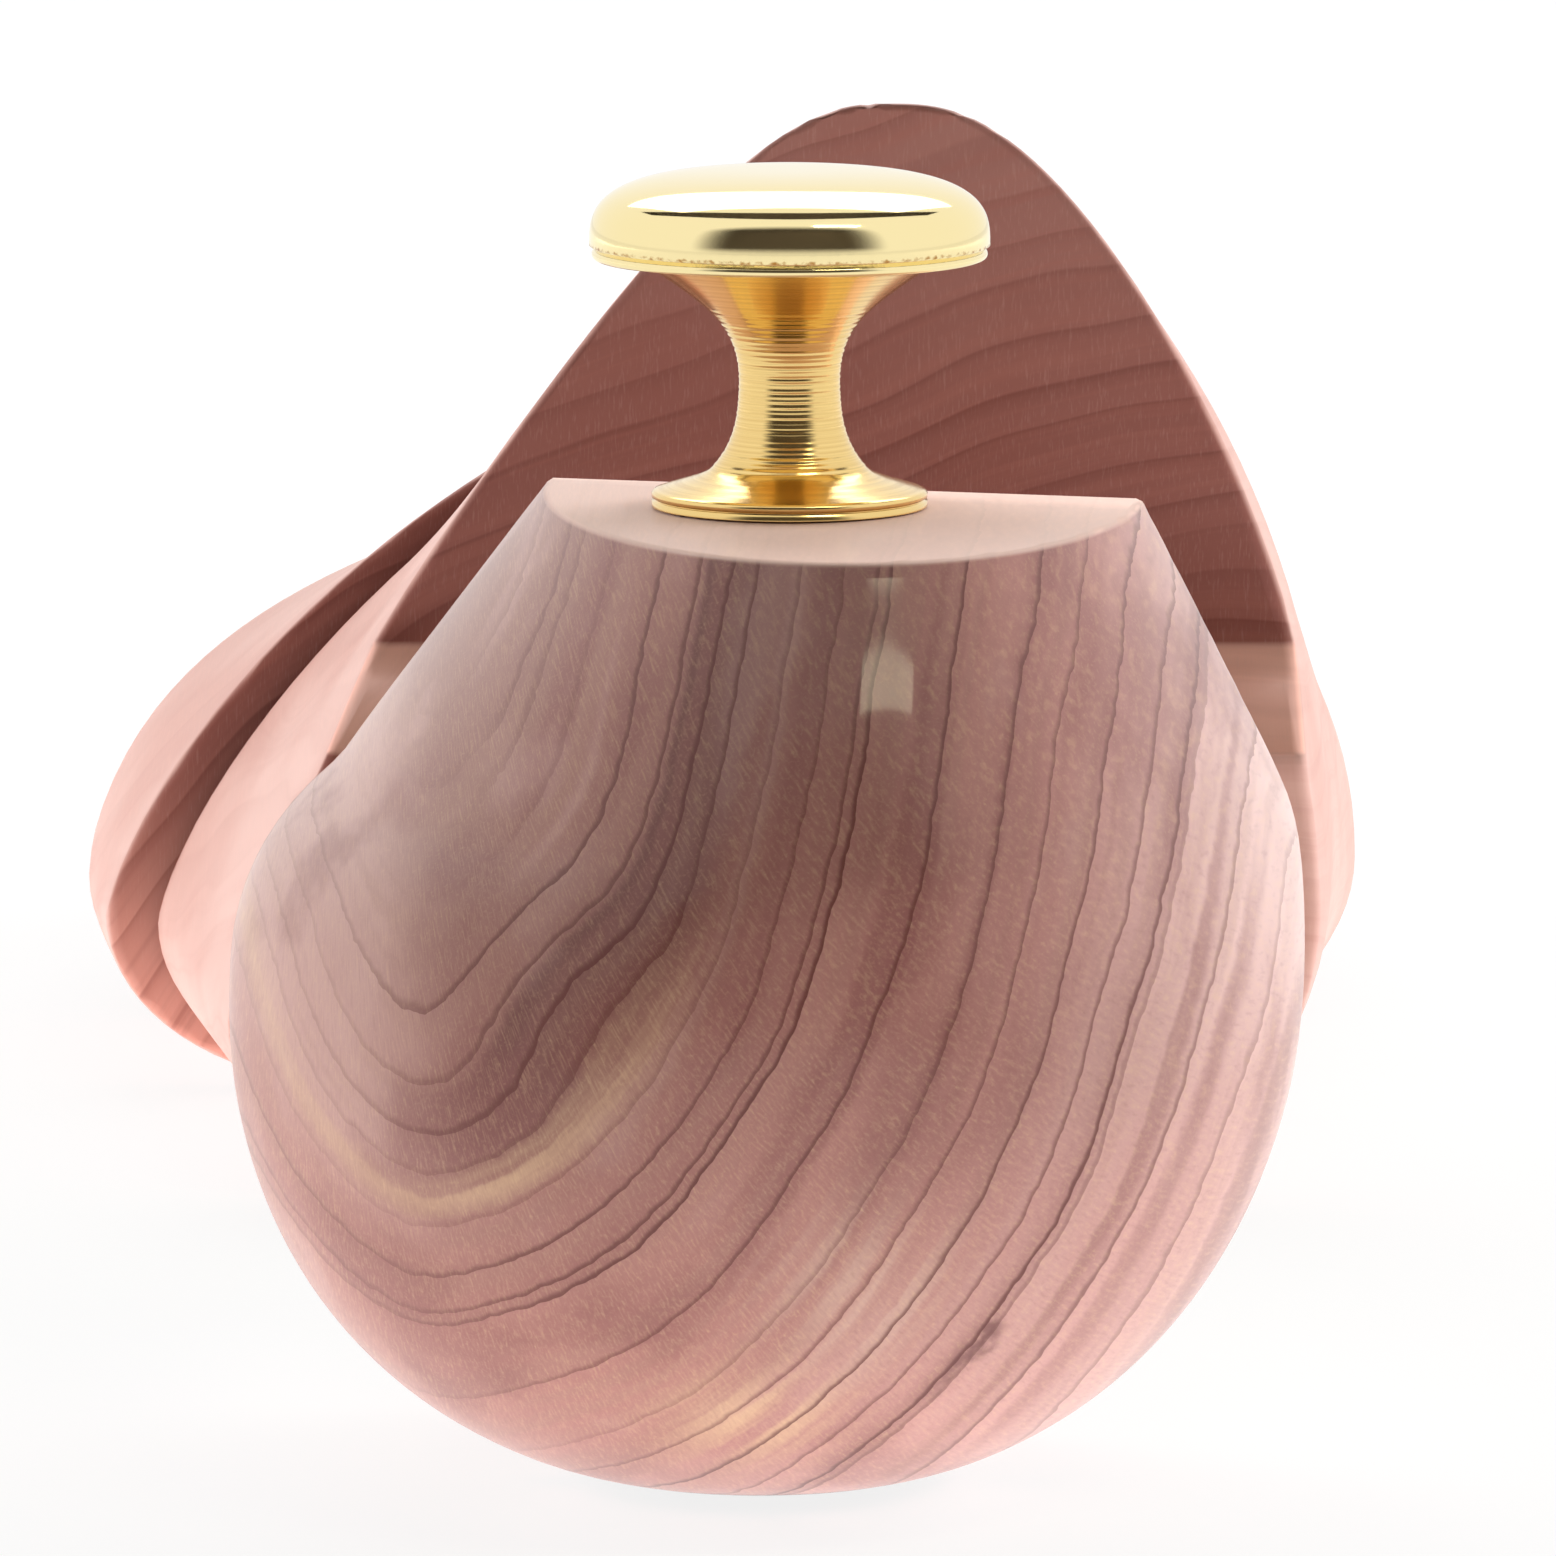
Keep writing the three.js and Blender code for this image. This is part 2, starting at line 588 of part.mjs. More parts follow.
const side = new THREE.Group();
side.position.x = -SIDE_TRAVEL;
side.add(sideBlock());

for (const [name, x] of [["left", -TUBE_X], ["right", TUBE_X]]) {
  heel.add(heelTube(name, x), tubeStop(name, x), heelTubePin(name, x));
  fore.add(foreTube(name, x), tubeGuide(name, x), foreTubePin(name, x), mainSpring(name, x));
}
for (const [place, y, z] of SIDE_PINS) {
  side.add(sidePin(place, y, z));
  fore.add(sideBush(place, y, z), sideSpring(place, y, z));
}

const shoeTree = new THREE.Group();
shoeTree.add(heel, fore, side);
export default shoeTree;
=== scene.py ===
# %% [markdown]
# # A cedar shoe tree in the studio
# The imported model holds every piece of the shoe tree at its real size, with coarse facets and plain
# colours. This lesson dresses it: each piece is modelled again with fine, rounded surfaces, rides on
# the same moving body, and gets a finish made of shader nodes. All work is in millimetres and is scaled
# to metres at the end of each piece, because millimetres are how a woodworker would measure it.

# %% Load the frame
import json
import math

import bmesh
import bpy
from mathutils import Matrix, Vector


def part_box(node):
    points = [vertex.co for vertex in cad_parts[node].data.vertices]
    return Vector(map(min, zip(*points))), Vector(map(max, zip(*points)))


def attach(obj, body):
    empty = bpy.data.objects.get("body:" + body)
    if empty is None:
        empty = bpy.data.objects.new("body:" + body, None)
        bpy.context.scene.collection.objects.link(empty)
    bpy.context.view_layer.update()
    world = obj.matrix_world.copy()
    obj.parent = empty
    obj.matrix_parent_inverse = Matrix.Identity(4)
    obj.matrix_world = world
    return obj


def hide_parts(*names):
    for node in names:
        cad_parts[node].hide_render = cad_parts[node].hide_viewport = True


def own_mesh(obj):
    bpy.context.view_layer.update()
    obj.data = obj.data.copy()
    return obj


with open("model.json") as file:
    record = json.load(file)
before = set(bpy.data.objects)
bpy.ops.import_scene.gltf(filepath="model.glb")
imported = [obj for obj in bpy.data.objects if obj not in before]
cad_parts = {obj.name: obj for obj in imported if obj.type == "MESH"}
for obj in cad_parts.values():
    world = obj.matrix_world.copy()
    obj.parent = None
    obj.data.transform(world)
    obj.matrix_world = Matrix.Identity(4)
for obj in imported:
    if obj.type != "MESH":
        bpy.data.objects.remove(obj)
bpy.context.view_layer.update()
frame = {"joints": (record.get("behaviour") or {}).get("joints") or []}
scene = bpy.context.scene
scene.view_settings.view_transform = "Standard"
MM = 0.001

# %% [markdown]
# ## Camera
# The picture was taken from behind the heel, a little above it, with a long lens. A long lens hardly
# narrows what is further away, so the forepart looks nearly as large as the heel. The lens follows from
# the focal length in pixels and the width of the sensor.

# %% Camera behind the heel
PICTURE = 1556  # pixels across
FOCAL_PIXELS = 11830
CAMERA_PLACE = Vector((-0.7, -700, 145))
CAMERA_PITCH = math.radians(8.3)  # looking down

camera_data = bpy.data.cameras.new("camera")
camera = bpy.data.objects.new("camera", camera_data)
scene.collection.objects.link(camera)
camera_data.lens = camera_data.sensor_width * FOCAL_PIXELS / PICTURE
camera.location = CAMERA_PLACE * MM
camera.rotation_euler = (math.pi / 2 - CAMERA_PITCH, 0, 0)
scene.camera = camera
print("lens", round(camera_data.lens, 1), "mm")

# %% [markdown]
# ## Shader sums in plain Python
# Growth rings, fibres and turning marks are sums on coordinates. Wiring dozens of Math nodes by hand is
# hard to read, so one small class wraps a socket: an operator on it adds the Math node, and a pattern
# reads as a formula. Any other node comes from its `node` method.

# %% A socket in a formula


class Field:
    """A shader value that can be used in a formula."""

    def __init__(self, tree, socket=None):
        self.tree = tree
        self.socket = socket

    def node(self, kind, settings=None, inputs=None, output=0):
        """Add any node: its settings first, then the values or links of its sockets."""
        made = self.tree.nodes.new("ShaderNode" + kind)
        for name, value in (settings or {}).items():
            if name == "stops":
                set_stops(made.color_ramp, value)
            else:
                setattr(made, name, value)
        for name, value in (inputs or {}).items():
            socket = made.inputs[name]
            if isinstance(name, str):
                socket = next(item for item in made.inputs if item.name == name and item.enabled)
            if isinstance(value, Field):
                self.tree.links.new(value.socket, socket)
            else:
                socket.default_value = value
        if isinstance(output, str):
            return Field(self.tree, made.outputs[output])
        return Field(self.tree, [item for item in made.outputs if item.enabled][output])

    def math(self, operation, *values):
        return self.node("Math", {"operation": operation}, dict(enumerate((self, *values))))

    def __add__(self, other):
        return self.math("ADD", other)

    def __sub__(self, other):
        return self.math("SUBTRACT", other)

    def __rsub__(self, other):
        return self.node("Math", {"operation": "SUBTRACT"}, {0: other, 1: self})

    def __mul__(self, other):
        return self.math("MULTIPLY", other)

    def __truediv__(self, other):
        return self.math("DIVIDE", other)

    def __abs__(self):
        return self.math("ABSOLUTE")

    __radd__ = __add__
    __rmul__ = __mul__

    def above(self, low, high):
        """0 below low, 1 above high, eased between."""
        inputs = {"Value": self, "From Min": low, "From Max": high}
        return self.node("MapRange", {"interpolation_type": "SMOOTHSTEP"}, inputs)

    def hump(self, middle, width):
        """1 at the middle, falling to 0 on both sides like a bell."""
        away = (self - middle) / width
        return (away * away * -1).math("EXPONENT")

    def blend(self, first, second, how="MIX"):
        """A colour between two, with this value as the share of the second."""
        settings = {"data_type": "RGBA", "blend_type": how}
        return self.node("Mix", settings, {"Factor": self, "A": first, "B": second})

    def ramp(self, stops, full):
        """A colour from (place, colour) stops, with the last place at full."""
        shares = [(place / full, color) for place, color in stops]
        return self.node("ValToRGB", {"stops": shares}, {0: self / full})

    def vector(self, y, z):
        return self.node("CombineXYZ", {}, {0: self, 1: y, 2: z})

    def noise(self, scale, detail=2.0):
        """Cloudy values around 0.5; self is the place."""
        return self.node("TexNoise", {}, {"Vector": self, "Scale": scale, "Detail": detail})


def set_stops(color_ramp, stops):
    while len(color_ramp.elements) < len(stops):
        color_ramp.elements.new(1)
    for element, (place, color) in zip(color_ramp.elements, stops):
        element.position = place
        element.color = color


def tone(red, green, blue):
    """A colour as read on screen, 0 to 255, as the linear colour that shaders use."""
    shares = [value / 255 for value in (red, green, blue)]
    linear = [s / 12.92 if s <= 0.04045 else ((s + 0.055) / 1.055) ** 2.4 for s in shares]
    return (*linear, 1)


def start_finish(name):
    """A new material with its shader, and the place on the piece in mm as a vector and as x, y, z."""
    material = bpy.data.materials.new(name)
    material.use_nodes = True
    tree = material.node_tree
    place = Field(tree).node("TexCoord", output="Object")
    place = place.node("VectorMath", {"operation": "SCALE"}, {0: place, "Scale": 1 / MM})
    split = [place.node("SeparateXYZ", {}, {0: place}, output=i) for i in range(3)]
    return material, tree.nodes["Principled BSDF"], place, split


def feed(shader, values):
    """Set the shader's sockets: numbers and colours on the socket itself, fields by a link."""
    for name, value in values.items():
        if isinstance(value, Field):
            value.tree.links.new(value.socket, shader.inputs[name])
        else:
            shader.inputs[name].default_value = value


def bump(height, strength, distance):
    """A normal that follows a height, with the distance in mm."""
    inputs = {"Height": height, "Strength": strength, "Distance": distance * MM}
    return height.node("Bump", {}, inputs)


print("a tone such as 181, 140, 134 is", [round(c, 3) for c in tone(181, 140, 134)])

# %% [markdown]
# ## Studio
# The tree stands on a white table that is lit from below, in a tent of white panels above it and at both
# sides. From the camera's side little light comes, so the heel's back is darker than its rim. The polished
# knob shows the room: a dark patch from behind the camera, and a thin dark line from the gap between the
# panels overhead. A small window beside the camera leaves its bright mark on the lacquer. What is seen or
# mirrored of the surroundings is plain white, and they light the object more softly than that.

# %% World and table
WHITE = (1, 1, 1, 1)
WORLD_FILL = 0.3  # how brightly the white surroundings light the object
TABLE_SIZE = 8000  # mm
TABLE_TONE = tone(251, 251, 251)
TABLE_GLOW = 0.85  # share of plain white in what the camera sees of the table
SEEN_KINDS = ("Camera", "Glossy", "Transmission")


def seen_rays(tree):
    """1 where the camera looks, straight or by way of a mirror or glass, and 0 for plain light."""
    kinds = [Field(tree).node("LightPath", output=f"Is {kind} Ray") for kind in SEEN_KINDS]
    return (kinds[0] + kinds[1] + kinds[2]).math("MINIMUM", 1)


def studio_world():
    world = bpy.data.worlds.new("studio")
    world.use_nodes = True
    tree = world.node_tree
    strength = WORLD_FILL + seen_rays(tree) * (1 - WORLD_FILL)
    background = tree.nodes["Background"]
    background.inputs["Color"].default_value = WHITE
    tree.links.new(strength.socket, background.inputs["Strength"])
    return world


def loose_object(name, shape):
    """An object from a shape in its own units."""
    mesh = bpy.data.meshes.new(name)
    shape.to_mesh(mesh)
    shape.free()
    made = bpy.data.objects.new(name, mesh)
    scene.collection.objects.link(made)
    return made


def put_on_stage(name, shape, finish):
    """A sheet of the studio, which isn't part of the object."""
    sheet = loose_object(name, shape)
    sheet.data.materials.append(finish)
    return sheet


def stage_sheet(name, width, height, place, finish):
    """A flat sheet of the studio."""
    shape = bmesh.new()
    bmesh.ops.create_grid(shape, x_segments=1, y_segments=1, size=0.5)
    bmesh.ops.scale(shape, vec=(width * MM, height * MM, 1), verts=shape.verts)
    bmesh.ops.transform(shape, matrix=place, verts=shape.verts)
    return put_on_stage(name, shape, finish)


def table_finish():
    material, shader, place, split = start_finish("table")
    tree = material.node_tree
    feed(shader, {"Base Color": TABLE_TONE, "Roughness": 1.0, "Specular IOR Level": 0.0})
    glow = place.node("Emission", {}, {"Color": WHITE, "Strength": 1.0})
    share = seen_rays(tree) * TABLE_GLOW
    surface = place.node("MixShader", {}, {0: share, 1: Field(tree, shader.outputs[0]), 2: glow})
    tree.links.new(surface.socket, tree.nodes["Material Output"].inputs["Surface"])
    return material


scene.world = studio_world()
stage_sheet("table", TABLE_SIZE, TABLE_SIZE, Matrix(), table_finish())
print("table", TABLE_SIZE, "mm")

# %% Dark card and the gap overhead
CARD_AWAY = 1050  # mm behind the object
CARD_HALF = 1800
CARD_HEIGHT = 2000
CARD_FADE_SIDE = 1100
CARD_FADE_TOP = 800
CARD_FADE_FOOT = 220
CARD_TONE = tone(74, 68, 64)
GAP_FRONT = -250  # y where the gap between the panels passes overhead
GAP_HEIGHT = 1500
GAP_HALF = 1400  # reach to both sides
GAP_BEND = 1830  # it bends away to the back by the square of the reach over this
GAP_WIDTH = 460
GAP_STEPS = 64
FLAG_SIZE = (5000, 2600)
FLAG_AWAY = 1200


def card_finish():
    """Dark cloth that thins out towards all its edges."""
    material, shader, place, (x, y, z) = start_finish("dark_card")
    across = 1 - abs(x).above(CARD_HALF - CARD_FADE_SIDE, CARD_HALF)
    up = z.above(0, CARD_FADE_FOOT) * (1 - z.above(CARD_HEIGHT - CARD_FADE_TOP, CARD_HEIGHT))
    feed(shader, {
        "Base Color": CARD_TONE,
        "Roughness": 1.0,
        "Specular IOR Level": 0.0,
        "Alpha": across * up,
    })
    return material


def cloth_finish():
    material, shader, place, split = start_finish("dark_cloth")
    feed(shader, {"Base Color": CARD_TONE, "Roughness": 1.0, "Specular IOR Level": 0.0})
    return material


def hide_from(sheet, *rays):
    for ray in rays:
        setattr(sheet, "visible_" + ray, False)


def standing(away, height):
    """A place behind the camera for an upright sheet."""
    middle = Vector((0, -away, height / 2)) * MM
    return Matrix.Translation(middle) @ Matrix.Rotation(math.pi / 2, 4, "X")


def arched_sheet(name, finish):
    """A flat strip overhead that bends away to the back at both sides."""
    shape = bmesh.new()
    bmesh.ops.create_grid(shape, x_segments=GAP_STEPS, y_segments=1, size=0.5)
    for vert in shape.verts:
        x = vert.co.x * 2 * GAP_HALF
        y = GAP_FRONT + (vert.co.y + 0.5) * GAP_WIDTH + x * x / GAP_BEND
        vert.co = Vector((x, y, GAP_HEIGHT)) * MM
    return put_on_stage(name, shape, finish)


dark_cloth = cloth_finish()
card = stage_sheet("dark_card", 2 * CARD_HALF, CARD_HEIGHT, standing(CARD_AWAY, CARD_HEIGHT), card_finish())
hide_from(card, "camera")
flag = stage_sheet("flag", *FLAG_SIZE, standing(FLAG_AWAY, FLAG_SIZE[1]), dark_cloth)
hide_from(flag, "camera", "glossy")
gap = arched_sheet("panel_gap", dark_cloth)
hide_from(gap, "camera", "diffuse", "shadow")
print("card", 2 * CARD_HALF, "by", CARD_HEIGHT, "mm, gap", GAP_WIDTH, "mm")

# %% Panels and window
PANEL_AIM = Vector((0, 60, 40))


def lamp(name, place, aim, size, power, color=(1, 1, 1), mirrored=False, turn=0.0):
    """A soft rectangular lamp; a panel that isn't mirrored leaves no mark on the lacquer."""
    data = bpy.data.lights.new(name, "AREA")
    data.shape = "RECTANGLE"
    data.size, data.size_y = (side * MM for side in size)
    data.energy = power
    data.color = color
    made = bpy.data.objects.new(name, data)
    made.location = Vector(place) * MM
    made.rotation_euler = (aim - Vector(place)).to_track_quat("-Z", "Y").to_euler()
    made.rotation_euler.rotate_axis("Z", math.radians(turn))
    made.visible_camera = False
    made.visible_glossy = mirrored
    scene.collection.objects.link(made)


lamp("panel_above", (0, 1000, 1300), PANEL_AIM, (1800, 1000), 13, mirrored=True)
lamp("panel_left", (-1000, 600, 260), PANEL_AIM, (900, 500), 12.5)
lamp("panel_right", (1000, 600, 450), PANEL_AIM, (900, 500), 13.5)
lamp("light_table", (0, 20, 1), Vector((0, 20, 100)), (420, 300), 0.46)
lamp("window", (500, -587, 1200), Vector((500, -587, 0)), (515, 140), 2.4, (1, 0.95, 0.66), True, 11)

# %% [markdown]
# ## Cedar
# The heel is sawn so that its growth rings show as thin dark lines: upright under the knob, then swinging
# round to the left in nested bends that turn up again at the outer side. A ring is where the distance from
# the tree's pith has one value, so the pattern starts from that distance: round below the pith's height,
# drawn out upwards above it, and folded up at the left. The distances of the lines are read off the heel.
# Before each line the wood darkens slowly, and after it a new, light ring starts sharply. The rays of the
# wood are fine strokes straight across the rings. The lacquer is a thin clear coat.

# %% Growth rings of the heel
HEEL_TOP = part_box("heel_block")[1].z / MM
PITH_X = -29.4  # mm
PITH_Z = 34.0
PITH_LEAN = 0.056  # the drawn-out rings lean to the inner side as they rise
PITH_SOFT = 30.3  # over this height the round rings pass into drawn-out ones
PITH_DEPTH = 1.13  # the round rings are a little deeper than wide
PITH_TILT = -0.049  # the pith isn't quite level along the shoe
FOLD_X = -21.5  # left of this the rings turn up again
FOLD_SOFT = 3.0
FOLD_STEEP = 1.45  # the rings are closer together there
HEEL_LINES = (
    15.6, 17.5, 18.4, 20.3, 23.2, 25.4, 27.2, 28.7, 31.1, 33.5, 35.4, 36.1,
    40.3, 44.3, 46.8, 49.5, 52.0, 53.9, 54.5, 57.9, 61.4, 66.0,
)  # mm from the pith
KNEE = (-14.5, 34.5)  # x and z where the bends are pushed outwards
KNEE_WIDTH = 6
KNEE_PUSH = 1.8
FAR = 120.0  # mm, further than any place is from the pith
AROUND = 30.0  # mm along a ring for each radian


def heel_rings(place, x, y, z):
    """Distance from the pith, with the slow and quick waves of real rings, and the way along a ring."""
    from_fold = x - FOLD_X
    folded = (from_fold * from_fold + FOLD_SOFT ** 2).math("SQRT") * ((1 + FOLD_STEEP) / 2)
    across = folded + from_fold * ((1 - FOLD_STEEP) / 2) + FOLD_X
    drop = PITH_Z - z
    below = ((drop * drop + PITH_SOFT ** 2).math("SQRT") + drop) * (PITH_DEPTH / 2)
    aside = across - PITH_X + drop * PITH_LEAN
    knee = x.hump(KNEE[0], KNEE_WIDTH) * z.hump(KNEE[1], KNEE_WIDTH) * KNEE_PUSH
    slow = (place.noise(0.07, 1.0) - 0.5) * 1.6
    quick = (place.noise(0.6, 2.0) - 0.5) * 0.45
    distance = (aside * aside + below * below).math("SQRT") + y * PITH_TILT + knee + slow + quick
    return distance, below.math("ARCTAN2", x - PITH_X + drop * PITH_LEAN) * AROUND


def to_next_line(distance, lines):
    """How far a place is from the next growth line outwards."""
    nearest = FAR
    for line in lines:
        passed = distance.math("GREATER_THAN", line) * FAR
        nearest = (line - distance + passed).math("MINIMUM", nearest)
    return nearest


def lacquer(shader, wood, rays, line, coat, nap):
    """The thin satin coat over the wood, with its grain just felt through it, and the sanded wood's nap."""
    feed(shader, {
        "Base Color": wood,
        "Roughness": 0.5 + rays * 0.12,
        "Specular IOR Level": 0.2,
        "Sheen Weight": nap,
        "Sheen Roughness": 0.4,
        "Coat Weight": coat - rays * 0.2,
        "Coat Roughness": 0.06,
        "Normal": bump(rays * 0.5 - line, 0.2, 0.05),
    })


# %% Heel cedar
HEEL_TINTS = (
    (0, tone(146, 105, 96)),
    (18, tone(142, 101, 92)),
    (25, tone(164, 117, 108)),
    (29, tone(156, 107, 99)),
    (34, tone(166, 115, 107)),
    (41, tone(172, 120, 112)),
    (47, tone(174, 122, 115)),
    (54, tone(191, 142, 136)),
    (62, tone(200, 154, 148)),
    (70, tone(206, 164, 158)),
)  # mm from the pith
# pale wood between streaks and clouds, and the painted sheen on the left part of the rings
PALE_WOOD_AND_SHEEN_TONE = tone(198, 160, 153)
# painted rim light: the pale tone laid on the heel's right side above mid-height
PAINTED_RIM_LIGHT_TONE = tone(234, 206, 202)
BAND_TONE = tone(96, 52, 52)
STREAK_TONE = tone(128, 76, 74)
LATE_TONE = tone(134, 86, 81)
LINE_TONE = tone(98, 50, 46)
CREAM_TONE = tone(222, 188, 148)
GREY_TONE = tone(160, 121, 108)
# tone of the painted soft highlight low on the back
LOW_HIGHLIGHT_TONE = tone(212, 180, 164)
# the planed top's pale wood, lightened further as painted light from above
PLANED_AND_LIT_TOP_TONE = tone(234, 200, 186)
STAIN = (11.7, 13.7)  # x and z of a small brown stain, drawn out down to the left
LINE_EDGE = (0.08, 0.36)  # mm ahead of a growth line where its dark starts to fade and ends
LATE_REACH = 1.5  # mm over which the wood darkens before a line
CREAM_RING = 29.8  # mm from the pith, a pale ring below the bends
LOW_HIGHLIGHT_PLACE = (4.2, 17)  # x and z of two pale places low on the back: this one is a painted soft highlight, the floor mirrored in the lacquer
CREAM_PATCH = (-2, 8.5)
HEEL_COAT = 0.45  # strength of the clear coat
PLANED_DULL = 0.3  # and how much less of it the planed top has
HEEL_NAP = 0.14


def brown_stain(place, x, z):
    """A small stain beside a ring, with a ragged edge."""
    ragged = (place.noise(0.9, 3.0) - 0.5) * 2
    down = (STAIN[0] - x + STAIN[1] - z) * math.sqrt(0.5) + ragged
    across = (x - STAIN[0] - z + STAIN[1]) * math.sqrt(0.5) + ragged
    return across.hump(0, 0.6) * down.above(-1.5, 0) * (1 - down.above(0.5, 8))


def heel_cedar():
    material, shader, place, (x, y, z) = start_finish("heel_cedar")
    distance, along = heel_rings(place, x, y, z)
    ahead = to_next_line(distance, HEEL_LINES)
    late = (ahead / -LATE_REACH).math("EXPONENT")
    line = 1 - ahead.above(*LINE_EDGE)
    # the left part of the rings, where a painted sheen lies: the lines and the dark band fade there
    sheen_lobe = along.above(28, 42)
    bold = 0.3 + distance.vector(along * 0.02, 0).noise(0.5, 1.0).above(0.3, 0.62) * 0.7
    # the inner lines fade on the left too, under the painted sheen
    inner = along.above(20, 27) * (1 - distance.above(20, 24))
    bold = bold * (0.5 + distance.above(19, 26) * 0.5) * (1 - sheen_lobe * 0.65) * (1 - inner * 0.8)
    # painted rim light: the outer rings above mid-height are painted pale and their lines fainter
    painted_rim_light = distance.above(46, 64) * z.above(18, 42)
    bold = bold * (1 - distance.above(53, 61) * 0.55) * (1 - painted_rim_light * 0.4)
    stripes = distance.vector(along * 0.04, y * 0.04).noise(0.9, 3.0)
    rays = (distance * 2.0).vector(along * 9, y * 0.4).noise(1.0, 2.0)
    speckle = place.noise(5.0, 2.0)
    cloud = (distance * 0.16).vector(along * 0.07, y * 0.08).noise(1.0, 3.0)
    band = distance.above(25.2, 26) * (1 - distance.above(27, 31.5)) * (1 - sheen_lobe)
    streaks = distance.vector(along * 0.03, y * 0.03).noise(0.42, 2.0)
    streaked = 1 - along.above(20, 27)
    cream = distance.hump(CREAM_RING, 0.8) * along.above(15, 22) * stripes.above(0.3, 0.6) * (1 - sheen_lobe * 0.5)
    # painted highlight: a soft pale spot low on the back, standing in for the floor's reflection
    painted_low_highlight = x.hump(LOW_HIGHLIGHT_PLACE[0], 5.5) * z.hump(LOW_HIGHLIGHT_PLACE[1], 5) * (0.1 + stripes.above(0.4, 0.6) * 0.35)
    low_cream = x.hump(CREAM_PATCH[0], 5) * z.hump(CREAM_PATCH[1], 3) * stripes.above(0.4, 0.6)

    wood = distance.ramp(HEEL_TINTS, HEEL_TINTS[-1][0])
    # painted sheen: the inner rings on the left are painted paler, over the wood's own tone
    wood = (sheen_lobe * (1 - distance.above(28, 34)) * 0.75).blend(wood, PALE_WOOD_AND_SHEEN_TONE)
    wood = (painted_rim_light * 0.7).blend(wood, PAINTED_RIM_LIGHT_TONE)
    wood = (band * 0.8).blend(wood, BAND_TONE)
    wood = (stripes.above(0.42, 0.68) * 0.3).blend(wood, GREY_TONE)
    wood = (streaks.above(0.5, 0.66) * streaked * 0.5).blend(wood, STREAK_TONE)
    wood = ((1 - streaks.above(0.3, 0.46)) * streaked * 0.3).blend(wood, PALE_WOOD_AND_SHEEN_TONE)
    wood = (cloud.above(0.48, 0.68) * 0.5).blend(wood, STREAK_TONE)
    wood = ((1 - cloud.above(0.3, 0.46)) * 0.3).blend(wood, PALE_WOOD_AND_SHEEN_TONE)
    wood = (late * bold * 0.68).blend(wood, LATE_TONE)
    # the painted highlight is laid over the wood here
    wood = painted_low_highlight.blend(wood, LOW_HIGHLIGHT_TONE)
    wood = (cream * 0.5 + low_cream * 0.5).blend(wood, CREAM_TONE)
    wood = (rays.above(0.45, 0.8) * 0.2).blend(wood, CREAM_TONE)
    wood = ((1 - rays.above(0.2, 0.48)) * 0.2).blend(wood, LATE_TONE)
    wood = (speckle.above(0.5, 0.8) * 0.14).blend(wood, CREAM_TONE)
    wood = (line * bold * 0.9).blend(wood, LINE_TONE)
    wood = (brown_stain(place, x, z) * 0.7).blend(wood, BAND_TONE)
    # the flat top: planed wood under less coat, painted pale partly for the light from above
    planed = z.above(HEEL_TOP - 0.4, HEEL_TOP - 0.1)
    wood = (planed * 0.8).blend(wood, PLANED_AND_LIT_TOP_TONE)
    lacquer(shader, wood, rays, line, HEEL_COAT - planed * PLANED_DULL, HEEL_NAP)
    return material


heel_wood = heel_cedar()
print("heel_cedar has", len(heel_wood.node_tree.nodes), "nodes")

# %% Forepart cedar
FORE_PITH = (40, -60)  # x and z of its pith, below the inner side
FORE_SPACING = 3.2  # mm between growth lines
FORE_TONE = tone(196, 150, 139)
FORE_PALE = tone(207, 168, 158)
FORE_LATE = tone(160, 100, 88)
FORE_END_SHADED = tone(130, 71, 62)  # end grain drinks the lacquer and turns darker; painted shade of the sawn back and its crease darkens it further
FORE_END_LIT_FROM_BELOW = tone(214, 148, 132)  # painted light from the table below: lighter and warmer near the sole
# painted light: the pale tone of the upward ledge, as if lit from above
LEDGE_PAINTED_LIGHT_TONE = tone(246, 188, 170)
FORE_COAT = 0.15
FORE_NAP = 0.08
LOWER_BACK_Y = 94  # sizes of the sawn back and of the cross cut, in mm
LEDGE_EDGE_Z = 30.8
CREASE_Y = 106
CREASE_Z = 36.7
LEDGE_SLOPE = (CREASE_Y - LOWER_BACK_Y) / (CREASE_Z - LEDGE_EDGE_Z)  # y for each mm of height
INSTEP_LEAN = -8.8 / 42.3  # y for each mm of height above the crease
SPLIT_X = -2
SPLIT_Y = 138
SAW_CUT = 2
SKIN = 0.3  # mm, how deep the look of a sawn face reaches
FADE = 0.6  # mm over which it passes into the look of the flanks


def end_grain(x, y, z):
    """1 on the sawn faces that cross the fibres."""
    instep = 1 - (y - CREASE_Y - (z - CREASE_Z) * INSTEP_LEAN).above(0.1, 0.9)
    instep = instep * z.above(CREASE_Z - SKIN, CREASE_Z + SKIN)
    lower = (1 - y.above(LOWER_BACK_Y + SKIN, LOWER_BACK_Y + SKIN + FADE)) * (1 - x.above(24, 30))
    rear = SPLIT_Y - SKIN
    ahead = SPLIT_Y + SAW_CUT + SKIN
    cut = y.above(rear - FADE, rear) * (1 - y.above(ahead, ahead + FADE))
    cut = cut * (1 - x.above(SPLIT_X - 0.2, SPLIT_X + 0.4))
    return instep.math("MAXIMUM", lower).math("MAXIMUM", cut)


def sawn_ledge(y, z):
    """1 on the sloping ledge between the two sawn faces of the back."""
    start = LOWER_BACK_Y + SKIN
    behind = 1 - (y - start - (z - LEDGE_EDGE_Z) * LEDGE_SLOPE).above(SKIN, SKIN + FADE)
    above_edge = z.above(LEDGE_EDGE_Z - 0.2, LEDGE_EDGE_Z + 0.2)
    return behind * above_edge * (1 - z.above(CREASE_Z - SKIN, CREASE_Z + SKIN))


